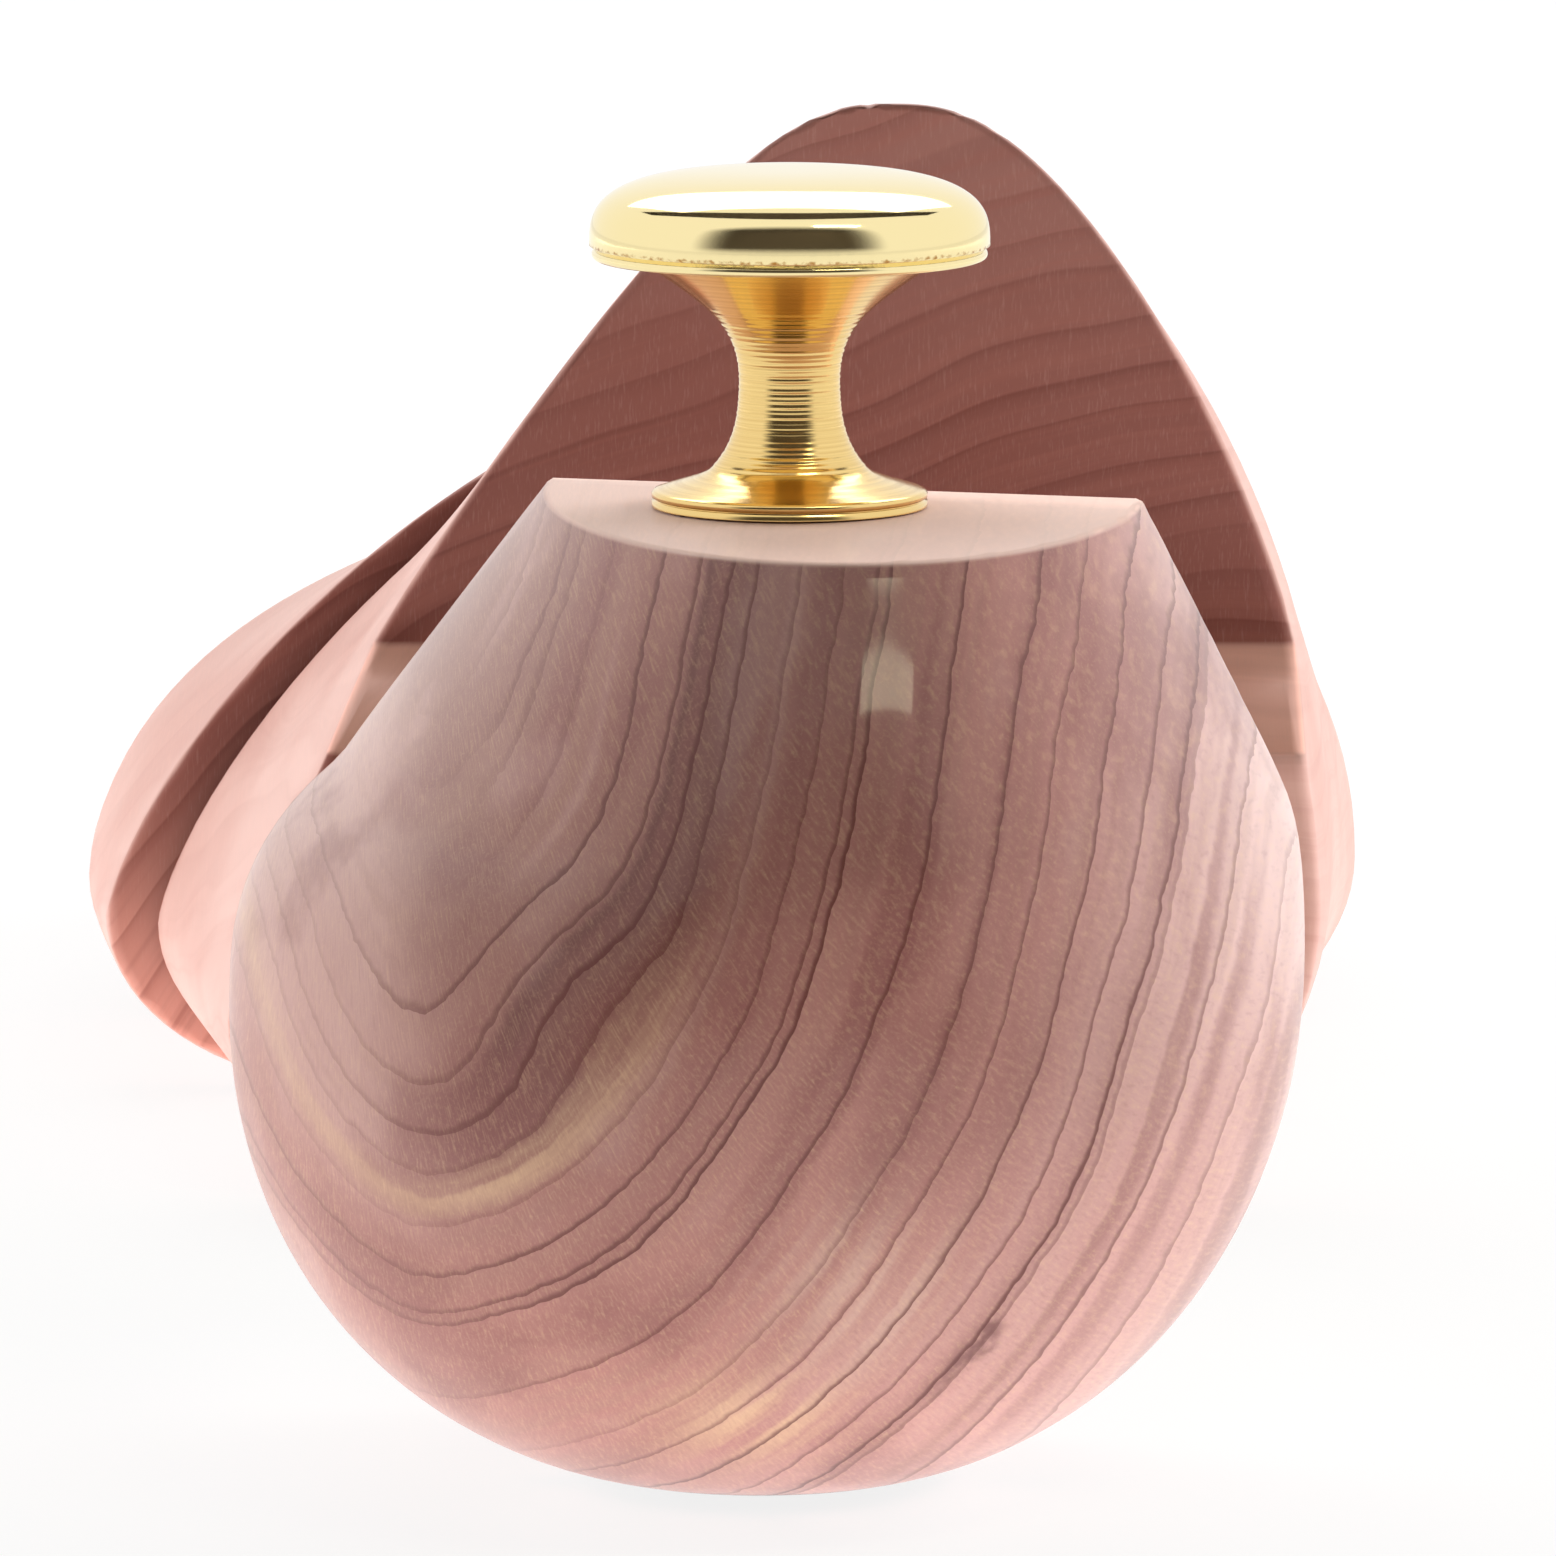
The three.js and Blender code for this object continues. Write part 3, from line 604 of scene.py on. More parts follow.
def fore_cedar():
    """On the instep face the rings rise to the inner side in flat arches, and run along the flanks."""
    material, shader, place, (x, y, z) = start_finish("fore_cedar")
    aside = x - FORE_PITH[0]
    rise = z - FORE_PITH[1]
    waves = (place.noise(0.03, 2.0) - 0.5) * 9
    distance = (aside * aside + rise * rise).math("SQRT") + y * 0.04 + waves
    uneven = distance.vector(0, 0).noise(0.12, 1.0) * 7
    ahead = (1 - ((distance + uneven) / FORE_SPACING).math("FRACT")) * FORE_SPACING
    late = (ahead / -0.8).math("EXPONENT") * ahead.above(0, 0.25)
    bold = distance.vector(y * 0.01, 0).noise(0.31, 1.0).above(0.35, 0.65)
    stripes = distance.vector(aside * 0.02, y * 0.01).noise(1.3, 3.0)
    rays = (distance * 1.1).vector(aside * 7, y * 0.3).noise(1.0, 2.0)

    wood = place.noise(0.05, 3.0).above(0.35, 0.68).blend(FORE_TONE, FORE_PALE)
    ends = end_grain(x, y, z)
    # the end grain passes from painted light near the sole to painted shade above 26 mm, and takes less of it
    # towards the instep's top
    end_tone_shaded_and_lit = z.above(4, 26).blend(FORE_END_LIT_FROM_BELOW, FORE_END_SHADED)
    wood = (ends * (0.92 - z.above(45, 80) * 0.2)).blend(wood, end_tone_shaded_and_lit)
    # painted light on the sloping ledge
    wood = (sawn_ledge(y, z) * 0.8).blend(wood, LEDGE_PAINTED_LIGHT_TONE)
    wood = (stripes.above(0.45, 0.7) * (0.12 + ends * 0.18)).blend(wood, FORE_LATE)
    wood = (rays.above(0.5, 0.8) * 0.14).blend(wood, FORE_PALE)
    wood = (late * (0.1 + ends * (0.1 + bold * 0.35))).blend(wood, FORE_LATE, "MULTIPLY")
    lacquer(shader, wood, rays, late, FORE_COAT, FORE_NAP)
    return material


fore_wood = fore_cedar()
print("fore_cedar has", len(fore_wood.node_tree.nodes), "nodes")

# %% [markdown]
# ## Metals and nylon
# The knob is polished brass: a head pressed from sheet, smooth as a mirror, and a stem that still has the
# fine rings of the lathe. Tubes are plated, with faint marks along their length. Pins and springs are
# plain drawn steel, and the guides and stops are moulded nylon. Each finish is a small function of its own.

# %% Brass
BRASS_TONE = tone(250, 232, 176)
BRASS_TURNED = tone(246, 214, 142)
BRASS_DULL = tone(180, 128, 60)
SEAM_Z = 73.95  # mm, height of the seam under the head's side


def polished_brass():
    material, shader, place, (x, y, z) = start_finish("polished_brass")
    haze = place.noise(0.6, 3.0)
    crimp = place.noise(2.2, 3.0) * z.hump(SEAM_Z, 0.28)
    feed(shader, {
        "Base Color": crimp.above(0.4, 0.7).blend(BRASS_TONE, BRASS_DULL),
        "Metallic": 1.0,
        "Roughness": 0.04 + haze * 0.05 + crimp * 0.2,
        "Normal": bump(haze * 0.05 + crimp, 0.35, 0.12),
    })
    return material


def turned_brass():
    material, shader, place, (x, y, z) = start_finish("turned_brass")
    rings = z.vector(0, 0).noise(7.0, 3.0)
    feed(shader, {
        "Base Color": (rings.above(0.35, 0.7) * 0.3).blend(BRASS_TURNED, BRASS_DULL),
        "Metallic": 1.0,
        "Roughness": 0.1 + rings * 0.14,
        "Normal": bump(rings, 0.12, 0.04),
    })
    return material


brass_head = polished_brass()
brass_stem = turned_brass()
print("brass finishes:", brass_head.name, brass_stem.name)

# %% Plating, steel and nylon
PLATING_TONES = (tone(234, 208, 140), tone(218, 188, 122))
STEEL_TONES = (tone(186, 188, 192), tone(158, 160, 165))
NYLON_TONES = (tone(234, 230, 218), tone(222, 217, 203))


def plated_tube():
    material, shader, place, (x, y, z) = start_finish("plated_tube")
    drawn = x.vector(y * 0.01, z).noise(4.0, 2.0)
    cloud = place.noise(0.08, 2.0)
    feed(shader, {
        "Base Color": cloud.above(0.3, 0.7).blend(*PLATING_TONES),
        "Metallic": 1.0,
        "Roughness": 0.14 + drawn * 0.14,
        "Normal": bump(drawn, 0.08, 0.04),
    })
    return material


def drawn_steel():
    material, shader, place, (x, y, z) = start_finish("drawn_steel")
    scuff = place.noise(1.8, 3.0)
    feed(shader, {
        "Base Color": scuff.above(0.35, 0.7).blend(*STEEL_TONES),
        "Metallic": 1.0,
        "Roughness": 0.24 + scuff * 0.16,
        "Normal": bump(scuff, 0.1, 0.04),
    })
    return material


def moulded_nylon():
    material, shader, place, (x, y, z) = start_finish("moulded_nylon")
    grain = place.noise(2.5, 2.0)
    feed(shader, {
        "Base Color": grain.above(0.3, 0.7).blend(*NYLON_TONES),
        "Roughness": 0.42 + grain * 0.12,
        "Normal": bump(grain, 0.12, 0.05),
    })
    return material


tube_plating = plated_tube()
steel = drawn_steel()
nylon = moulded_nylon()
print("plain finishes:", tube_plating.name, steel.name, nylon.name)

# %% [markdown]
# ## Tools for the wooden blocks
# A block starts as a stack of section outlines. Each outline is a circle of vertices moved onto the
# section's curve, and neighbouring outlines are bridged into a skin, as one lofts a hull. Flat faces and
# bores are then sawn with the Boolean modifier, and the sawn edges are rounded with a bevel. A saw cut
# leaves slivers beside it, which would spoil the bevel, so close vertices are welded onto the edge first.

# %% Curves and lofts


def through(points):
    """A smooth curve through (place, value) points, as a function of the place."""
    slopes = []
    for i in range(len(points)):
        before = points[max(i - 1, 0)]
        after = points[min(i + 1, len(points) - 1)]
        slopes.append((after[1] - before[1]) / (after[0] - before[0]))

    def curve(place):
        i = 0
        while i < len(points) - 2 and place > points[i + 1][0]:
            i += 1
        (start, value), (end, later) = points[i], points[i + 1]
        span = end - start
        t = min(max((place - start) / span, 0), 1)
        rise = (1 + 2 * t) * (1 - t) ** 2 * value + t * t * (3 - 2 * t) * later
        return rise + span * t * (1 - t) * ((1 - t) * slopes[i] - t * slopes[i + 1])

    return curve


def loft(rings, end_faces=()):
    """A closed skin over outlines with the same number of points; the first end may have several faces."""
    skin = bmesh.new()
    circles = []
    before = None
    for ring in rings:
        circle = bmesh.ops.create_circle(skin, segments=len(ring))["verts"]
        circles.append(circle)
        for vert, point in zip(circle, ring):
            vert.co = point
        edges = list(dict.fromkeys(edge for vert in circle for edge in vert.link_edges))
        if before:
            bmesh.ops.bridge_loops(skin, edges=before + edges)
        before = edges
    for corners in end_faces:
        skin.faces.new([circles[0][i] for i in corners])
    bmesh.ops.holes_fill(skin, edges=skin.edges, sides=0)
    bmesh.ops.recalc_face_normals(skin, faces=skin.faces)
    return skin


# %% Saws and drills
DRILL_SEGMENTS = 64


def saw_box(low, high):
    """A box from one corner to the opposite one, to saw with."""
    box = bmesh.new()
    bmesh.ops.create_cube(box, size=1)
    bmesh.ops.scale(box, vec=Vector(high) - Vector(low), verts=box.verts)
    bmesh.ops.translate(box, vec=(Vector(high) + Vector(low)) / 2, verts=box.verts)
    return box


def drill(radius, start, end):
    """A round bar from one point to another, to drill with."""
    along = end - start
    turn = along.to_track_quat("Z", "Y").to_matrix().to_4x4()
    bar = bmesh.new()
    bmesh.ops.create_cone(
        bar, cap_ends=True, segments=DRILL_SEGMENTS, radius1=radius, radius2=radius, depth=along.length,
        matrix=Matrix.Translation((start + end) / 2) @ turn,
    )
    return bar


def cut(block, tools):
    """The block after every tool has been taken out of it."""
    worked = loose_object("block", block)
    others = [loose_object("tool", tool) for tool in tools]
    for other in others:
        saw = worked.modifiers.new("saw", "BOOLEAN")
        saw.operation = "DIFFERENCE"
        saw.solver = "EXACT"
        saw.object = other
    bpy.context.view_layer.update()
    result = bmesh.new()
    result.from_object(worked, bpy.context.evaluated_depsgraph_get())
    for spent in (worked, *others):
        bpy.data.objects.remove(spent)
    return result


# %% Rounded edges and finished pieces
SHARP = math.radians(30)
CLOSE = 0.4  # mm: nearer vertices on an edge become one
LONG = 25  # mm: longer straight edges stay as the saw leaves them
THIN_END_Y = 246  # mm: ahead of this the split halves run out too thin to be rounded
ON_CUT = 0.005  # mm: how near a point on a cut lies to it
STEEP = math.radians(70)  # an unrounded edge that turns further keeps its crease
WELD_REACH = 1.4  # slivers nearer than this share of the rounding are welded onto the edge
SLIVER = 0.001  # mm: shorter edges are taken out


def sharp_edges(shape, on_cut=None):
    """Outer edges where two faces meet at a clear angle, all of them or those on a cut."""
    outer = [edge for edge in shape.edges if edge.is_manifold and edge.is_convex]
    outer = [edge for edge in outer if edge.calc_length() < LONG and edge.verts[0].co.y < THIN_END_Y]
    if on_cut:
        outer = [edge for edge in outer if all(on_cut(vert.co) for vert in edge.verts)]
    return [edge for edge in outer if edge.calc_face_angle() > SHARP]


def rim_verts(shape, on_cut):
    return list(dict.fromkeys(vert for edge in sharp_edges(shape, on_cut) for vert in edge.verts))


def round_off(shape, edges, width, segments, clamp):
    """Round edges by a width."""
    bmesh.ops.bevel(
        shape, geom=edges, offset=width, offset_type="OFFSET", segments=segments, profile=0.5,
        affect="EDGES", material=-1, clamp_overlap=clamp,
    )


def ease_edges(shape, width, on_cut, segments=3):
    """Round the edges on a cut by a width, after welding slivers beside them onto the edge."""
    bmesh.ops.remove_doubles(shape, verts=rim_verts(shape, on_cut), dist=CLOSE)
    rim = rim_verts(shape, on_cut)
    close = bmesh.ops.find_doubles(shape, verts=shape.verts, keep_verts=rim, dist=WELD_REACH * width)
    bmesh.ops.weld_verts(shape, targetmap=close["targetmap"])
    bmesh.ops.dissolve_degenerate(shape, edges=shape.edges, dist=SLIVER)
    round_off(shape, sharp_edges(shape, on_cut), width, segments, False)
    return shape


def make_piece(name, shape, body, slot, finish, node):
    """Scale a shape from mm to metres and make it a piece that stands for a CAD node."""
    for face in shape.faces:
        face.smooth = True
    for edge in shape.edges:
        edge.smooth = edge.calc_face_angle(0) < STEEP
    bmesh.ops.scale(shape, vec=(MM, MM, MM), verts=shape.verts)
    piece = loose_object(name, shape)
    piece.data.materials.append(finish)
    normals = piece.modifiers.new("flat faces stay flat", "WEIGHTED_NORMAL")
    normals.keep_sharp = True
    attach(piece, body)
    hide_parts(node)
    places = list(zip(*(vert.co for vert in piece.data.vertices)))
    own = [*map(min, places), *map(max, places)]
    low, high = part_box(node)
    apart = max(abs(a - b) for a, b in zip(own, [*low, *high])) / MM
    print(f"{name}: {len(piece.data.polygons)} faces on {body}, box within {apart:.2f} mm of the solid")
    return piece


# %% [markdown]
# ## Where tubes and pins run
# Bores in the wood follow from the tubes and pins that sit in them, and those sizes are in the frame: a
# node's box gives the radius of a round bar, and where it starts and ends.

# %% Sizes from the frame
X, Y, Z = range(3)
BORE_GAP = 0.15  # mm of air round a tube or pin
SIDES = ("left", "right")
ENDS = ("rear", "front")


def travel(joint_name):
    """How far a slide moves, in mm."""
    return next(joint for joint in frame["joints"] if joint["name"] == joint_name)["range_m"][1] / MM


class Bar:
    """A round CAD node along X, Y or Z: its axis, middle, radius and ends, in mm."""

    def __init__(self, node, along):
        low, high = (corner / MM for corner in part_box(node))
        self.middle = (low + high) / 2
        self.along = along
        self.start = low[along]
        self.end = high[along]
        self.radius = (high[along - 1] - low[along - 1]) / 2

    def at(self, place):
        """The point of the axis at a place along it."""
        point = self.middle.copy()
        point[self.along] = place
        return point

    def bore(self, start, end, radius=None):
        """A drill along this bar, which leaves a little air round it."""
        return drill((radius or self.radius) + BORE_GAP, self.at(start), self.at(end))

    def on_bore(self, point, radius=None):
        """Whether a point lies on the wall of this bar's bore."""
        away = (point - self.at(point[self.along])).length
        return abs(away - (radius or self.radius) - BORE_GAP) < ON_CUT


heel_tubes = {side: Bar(f"heel_tube_{side}", Y) for side in SIDES}
heel_pins = {side: Bar(f"heel_tube_pin_{side}", Z) for side in SIDES}
fore_tubes = {side: Bar(f"fore_tube_{side}", Y) for side in SIDES}
fore_pins = {side: Bar(f"fore_tube_pin_{side}", Z) for side in SIDES}
side_pins = {end: Bar(f"side_pin_{end}", X) for end in ENDS}
side_bushes = {end: Bar(f"side_bush_{end}", X) for end in ENDS}
side_springs = {end: Bar(f"side_spring_{end}", X) for end in ENDS}
knob_screw = Bar("knob_screw", Z)
print("tubes at x", [round(tube.middle.x, 1) for tube in heel_tubes.values()])

# %% [markdown]
# ## Heel block
# The heel is turned and sanded freehand: a round bowl below, a roof with straight flanks above, a flat top
# for the knob and a flat front where the tubes come out. Every level section is an ellipse in two halves,
# so the sizes of the bowl and of the roof at a height are all that the loft needs. The front is then sawn
# off askew, as on the real block, where the outer corner reaches further towards the toe.

# %% Sections of the heel
HEEL_MIDDLE = -1.5  # x of the lowest line
HEEL_PLANED = 0.3  # planed off below
HEEL_FULLNESS = 2.25  # power of the bowl's rounding
BOWL_LEFT = {"half": 32.3, "level": 31, "above": 16}  # reach, its height, rise of the rounding
BOWL_RIGHT = {"half": 32.9, "level": 36.5, "above": 60}
ROOF_LEFT = {"half": 28.2, "level": 40.6, "taper": 0.767}  # x at a level, and how it narrows
ROOF_RIGHT = {"half": 31.2, "level": 40.4, "taper": 0.5355}
ROOF_BLEND = 1.5  # softens where the bowl runs into the roof
heel_back = through([
    (0, -2), (1, -9), (3, -15.5), (7, -22), (14, -27.3), (25, -30), (38, -28.5), (48, -23.5), (58, -16.4),
])  # y of the back at a height
BOWL_WIDEST_Y = 2
ROOF_WIDEST_Y = 20.5
ROOF_START = 24  # the widest place moves forward between these two levels
ROOF_FULL = 46
HEEL_FORWARD = 40  # how far the sections run on past their widest place
HEEL_RING = 144  # points to a section


def bowl_reach(bowl, z):
    height = bowl["above"] if z > bowl["level"] else bowl["level"]
    away = min(abs(z - bowl["level"]) / height, 1)
    return bowl["half"] * (1 - away ** HEEL_FULLNESS) ** (1 / HEEL_FULLNESS)


def roof_reach(roof, z):
    return roof["half"] - roof["taper"] * (z - roof["level"])


def heel_ring(z):
    """One level section of the heel, before its front is sawn off."""
    left = bowl_reach(BOWL_LEFT, z + HEEL_PLANED) - HEEL_MIDDLE
    if z > ROOF_LEFT["level"]:
        left = max(left, roof_reach(ROOF_LEFT, z))
    bowl = bowl_reach(BOWL_RIGHT, z + HEEL_PLANED) + HEEL_MIDDLE
    roof = roof_reach(ROOF_RIGHT, z)
    right = (bowl + roof - math.hypot(bowl - roof, ROOF_BLEND)) / 2
    rise = min(max((z - ROOF_START) / (ROOF_FULL - ROOF_START), 0), 1)
    widest = BOWL_WIDEST_Y + (ROOF_WIDEST_Y - BOWL_WIDEST_Y) * rise * rise * (3 - 2 * rise)
    ring = []
    for i in range(HEEL_RING):
        angle = 2 * math.pi * i / HEEL_RING
        depth = HEEL_FORWARD if math.sin(angle) > 0 else widest - heel_back(z)
        x = (right - left) / 2 + (right + left) / 2 * math.cos(angle)
        ring.append((x, widest + depth * math.sin(angle), z))
    return ring


# %% Heel block, sawn and drilled
HEEL_FRONT_Y = 20.6
HEEL_FRONT_SKEW = -0.295  # radians
BOWL_TOP = 34
BOWL_STEPS = 44
ROOF_STEPS = 26
REACH = 400  # mm, past everything
HEEL_EDGE = 0.35  # mm, rounding of sawn edges
BORE_EDGE = 0.2  # mm, rounding round a bore


def heel_block():
    levels = [BOWL_TOP * (1 - math.cos(i / BOWL_STEPS * math.pi / 2)) for i in range(BOWL_STEPS)]
    levels += [BOWL_TOP + (HEEL_TOP - BOWL_TOP) * i / ROOF_STEPS for i in range(ROOF_STEPS + 1)]
    front = saw_box((-REACH, 0, -REACH), (REACH, REACH, REACH))
    bmesh.ops.rotate(front, matrix=Matrix.Rotation(HEEL_FRONT_SKEW, 3, "Z"), verts=front.verts)
    bmesh.ops.translate(front, vec=(0, HEEL_FRONT_Y, 0), verts=front.verts)
    ahead = Matrix.Rotation(HEEL_FRONT_SKEW, 3, "Z") @ Vector((0, 1, 0))

    def on_saw(point):
        before = (point - Vector((0, HEEL_FRONT_Y, 0))).dot(ahead)
        return abs(before) < ON_CUT or point.z > HEEL_TOP - ON_CUT

    def on_drill(point):
        return any(bar.on_bore(point) for bar in (knob_screw, *heel_tubes.values(), *heel_pins.values()))

    shape = ease_edges(cut(loft([heel_ring(z) for z in levels]), [front]), HEEL_EDGE, on_saw)
    drills = [knob_screw.bore(knob_screw.start - 1, HEEL_TOP + 1)]
    for side, tube in heel_tubes.items():
        drills.append(tube.bore(tube.start, REACH))
        drills.append(heel_pins[side].bore(-1, tube.middle.z))
    return ease_edges(cut(shape, drills), BORE_EDGE, on_drill, segments=2)


make_piece("heel", heel_block(), "heel", "cedar", heel_wood, "heel_block")

# %% [markdown]
# ## Forepart
# The forepart fills the front of the shoe. Its upright sections have a ridge, two flanks, a widest line
# and a rounded sole edge; from the ball of the foot on the plan outline closes to a rounded toe. At the
# back a leaning instep face, a ledge and a lower face are sawn. The outer half ahead of the cross cut is
# the sliding side, which stands out by its travel at rest.

# %% Curves of the forepart
BALL_Y = 165
TOE_Y = 258
TOE_X = 4
fore_left = through([(90, 37.6), (104, 39.4), (138, 45.2), (158, 47.8), (BALL_Y, 48.2)])  # reach at a y
fore_right = through([(90, 35.6), (104, 37.2), (120, 38.2), (138, 39.8), (158, 41.6), (BALL_Y, 41.9)])
TOE_LEFT = {"along": 1.9, "across": 1.7}  # powers of the plan outline ahead of the ball
TOE_RIGHT = {"along": 2.3, "across": 2}
ridge = through([
    (90, 78.6), (98, 75), (104, 71.9), (138, 53.2), (158, 44.2), (175, 39), (205, 33), (235, 29.5), (258, 27),
])  # height of the ridge at a y
ridge_x = through([(90, 6.7), (104, 6.5), (138, 5), (165, 4), (258, 4)])
left_fullness = through([(90, 1.24), (104, 1.24), (138, 1.4), (158, 1.6), (180, 1.95), (258, 2.2)])
right_fullness = through([(90, 1.6), (101, 1.62), (115, 1.9), (138, 2), (180, 2.1), (258, 2.2)])
RIDGE_SOFT = 0.17  # rounding of the ridge, as a share of the half width
LEFT_WAIST = 12.3  # height of the widest line
right_waist = through([(90, 20), (120, 19), (150, 15), (170, 13), (258, 12.3)])
left_edge = through([(90, 0.43), (170, 0.4), (258, 0.32)])  # sole's rounding, share of the half width
right_edge = through([(90, 0.5), (130, 0.5), (165, 0.38), (258, 0.32)])
SOLE_LIFT_Y = 190  # the sole is flat up to here, then lifts towards the toe
SOLE_LIFT = 7
NOSE_Y = 234  # the toe's top and bottom close from here on
NOSE_Z = 13.5


def plan_reach(y, curve, toe, tip):
    """Reach of the plan outline from the middle line."""
    if y <= BALL_Y:
        return curve(y)
    ahead = min((y - BALL_Y) / (TOE_Y - BALL_Y), 1)
    return tip + (curve(BALL_Y) - tip) * (1 - ahead ** toe["along"]) ** (1 / toe["across"])


# %% Sections of the forepart
UPPER_STEPS = 40  # points from the ridge to the widest line
RIDGE_CLOSE = 1.6  # power that brings them closer together at the ridge
LOWER_STEPS = 18  # from there to the edge of the sole
SOLE_STEPS = 8
FLANK_STEPS = UPPER_STEPS + LOWER_STEPS
FORE_RING = 2 * FLANK_STEPS + SOLE_STEPS  # points to a section


def upper_point(flank, top_x, top, rise):
    """A point above the widest line: rise 0 is the widest line, rise 1 the ridge."""
    power = 2 / flank["fullness"]
    angle = rise * math.pi / 2
    soft = math.hypot(1, RIDGE_SOFT) - RIDGE_SOFT
    across = max(math.cos(angle), 0) ** power * soft + RIDGE_SOFT
    reach = flank["reach"] - flank["sign"] * top_x
    x = top_x + flank["sign"] * reach * math.sqrt(max(across ** 2 - RIDGE_SOFT ** 2, 0))
    return x, flank["waist"] + (top - flank["waist"]) * math.sin(angle) ** power


def lower_point(flank, sole, fall):
    """A point below the widest line: fall 0 is the widest line, fall 1 the edge of the sole."""
    angle = fall * math.pi / 2
    x = flank["sign"] * (flank["reach"] - flank["edge"] * (1 - math.cos(angle)))
    return x, flank["waist"] - (flank["waist"] - sole) * math.sin(angle)


def section_sizes(y):
    """The sizes of the upright section at a y."""
    into_nose = min(max((y - NOSE_Y) / (TOE_Y - NOSE_Y), 0), 1)
    open_share = math.sqrt(1 - into_nose ** 2)
    lift = min(max((y - SOLE_LIFT_Y) / (TOE_Y - SOLE_LIFT_Y), 0), 1)

    def closing(z):
        return NOSE_Z + (z - NOSE_Z) * open_share

    left = plan_reach(y, fore_left, TOE_LEFT, -TOE_X)
    right = plan_reach(y, fore_right, TOE_RIGHT, TOE_X)
    half = (left + right) / 2
    inner = {"sign": 1, "reach": right, "fullness": right_fullness(y), "edge": half * right_edge(y)}
    inner["waist"] = closing(right_waist(y))
    outer = {"sign": -1, "reach": left, "fullness": left_fullness(y), "edge": half * left_edge(y)}
    outer["waist"] = closing(LEFT_WAIST)
    return {"top": closing(ridge(y)), "sole": closing(SOLE_LIFT * lift ** 2), "inner": inner, "outer": outer}


def section_point(sizes, y, i):
    """Point i of a section: from the ridge down the inner flank, along the sole and up the outer flank."""
    if FLANK_STEPS < i < FLANK_STEPS + SOLE_STEPS:
        start = lower_point(sizes["inner"], sizes["sole"], 1)[0]
        end = lower_point(sizes["outer"], sizes["sole"], 1)[0]
        return start + (end - start) * (i - FLANK_STEPS) / SOLE_STEPS, sizes["sole"]
    flank = sizes["inner"] if i <= FLANK_STEPS else sizes["outer"]
    down = i if i <= FLANK_STEPS else FORE_RING - i
    if down < UPPER_STEPS:
        return upper_point(flank, ridge_x(y), sizes["top"], 1 - (down / UPPER_STEPS) ** RIDGE_CLOSE)
    return lower_point(flank, sizes["sole"], (down - UPPER_STEPS) / LOWER_STEPS)


def upright_ring(y):
    sizes = section_sizes(y)
    points = [section_point(sizes, y, i) for i in range(FORE_RING)]
    return [(x, y, z) for x, z in points]


def shrunk(ring, inset):
    """A section moved inwards by a few tenths of a millimetre all round."""
    moved = []
    for i, (x, y, z) in enumerate(ring):
        before, after = ring[i - 1], ring[(i + 1) % len(ring)]
        run_x, run_z = after[0] - before[0], after[2] - before[2]
        length = math.hypot(run_x, run_z)
        moved.append((x + run_z / length * inset, y, z - run_x / length * inset))
    return moved


# %% Sections along the sawn back
RIM = 0.9  # mm, rounding of the rims of the back and of the sliding side
RIM_STEPS = 5
SOLVE_STEPS = 6
REAR_STEPS = 24


def back_y(z):
    """The back seen from the side: a lower face, a ledge and the leaning instep face."""
    if z < LEDGE_EDGE_Z:
        return LOWER_BACK_Y
    if z < CREASE_Z:
        return LOWER_BACK_Y + LEDGE_SLOPE * (z - LEDGE_EDGE_Z)
    return CREASE_Y + INSTEP_LEAN * (z - CREASE_Z)


def leaning_ring(share, ahead=0.0):
    """A section between the back, at share 0, and the upright section at the split, at share 1."""
    ring = []
    for i in range(FORE_RING):
        y = SPLIT_Y
        for attempt in range(SOLVE_STEPS):
            x, z = section_point(section_sizes(y), y, i)
            y = back_y(z) + (SPLIT_Y - back_y(z)) * share + ahead
        ring.append((x, y, z))
    return ring


def slide_to(ring, i, z):
    """Move point i of a section along the outline to a height."""
    for other in (i - 1, i + 1):
        start, end = ring[i], ring[other % FORE_RING]
        if (start[2] - z) * (end[2] - z) <= 0 and start[2] != end[2]:
            share = (z - start[2]) / (end[2] - start[2])
            ring[i] = (start[0] + (end[0] - start[0]) * share, start[1], z)
            return


def back_corners():
    """The back's outline, and its points that become corners: two at the crease, two at the ledge."""
    outline = leaning_ring(0)
    flanks = range(2, FLANK_STEPS), range(FLANK_STEPS + SOLE_STEPS, FORE_RING - 1)
    crease = [min(flank, key=lambda i: abs(outline[i][2] - CREASE_Z)) for flank in flanks]
    ledge = [min(flank, key=lambda i: abs(outline[i][2] - LEDGE_EDGE_Z)) for flank in flanks]
    return outline, crease, ledge


def back_rim():
    """The rounded rim of the back: its sections, and the corners of the three flat faces inside it."""
    outline, crease, ledge = back_corners()
    rings = []
    for step in range(RIM_STEPS + 1):
        angle = step / RIM_STEPS * math.pi / 2
        ahead = RIM * (1 - math.cos(angle))
        ring = shrunk(leaning_ring(0, ahead), RIM * (1 - math.sin(angle)))
        for side in range(2):
            slide_to(ring, crease[side], CREASE_Z)
            slide_to(ring, ledge[side], LEDGE_EDGE_Z)
        rings.append([(x, back_y(z) + ahead, z) for x, y, z in ring])
    instep = [*range(crease[1], FORE_RING), *range(crease[0] + 1)]
    sloped = [*range(crease[0], ledge[0] + 1), *range(ledge[1], crease[1] + 1)]
    lower = [*range(ledge[0], ledge[1] + 1)]
    return rings, [instep, sloped, lower]


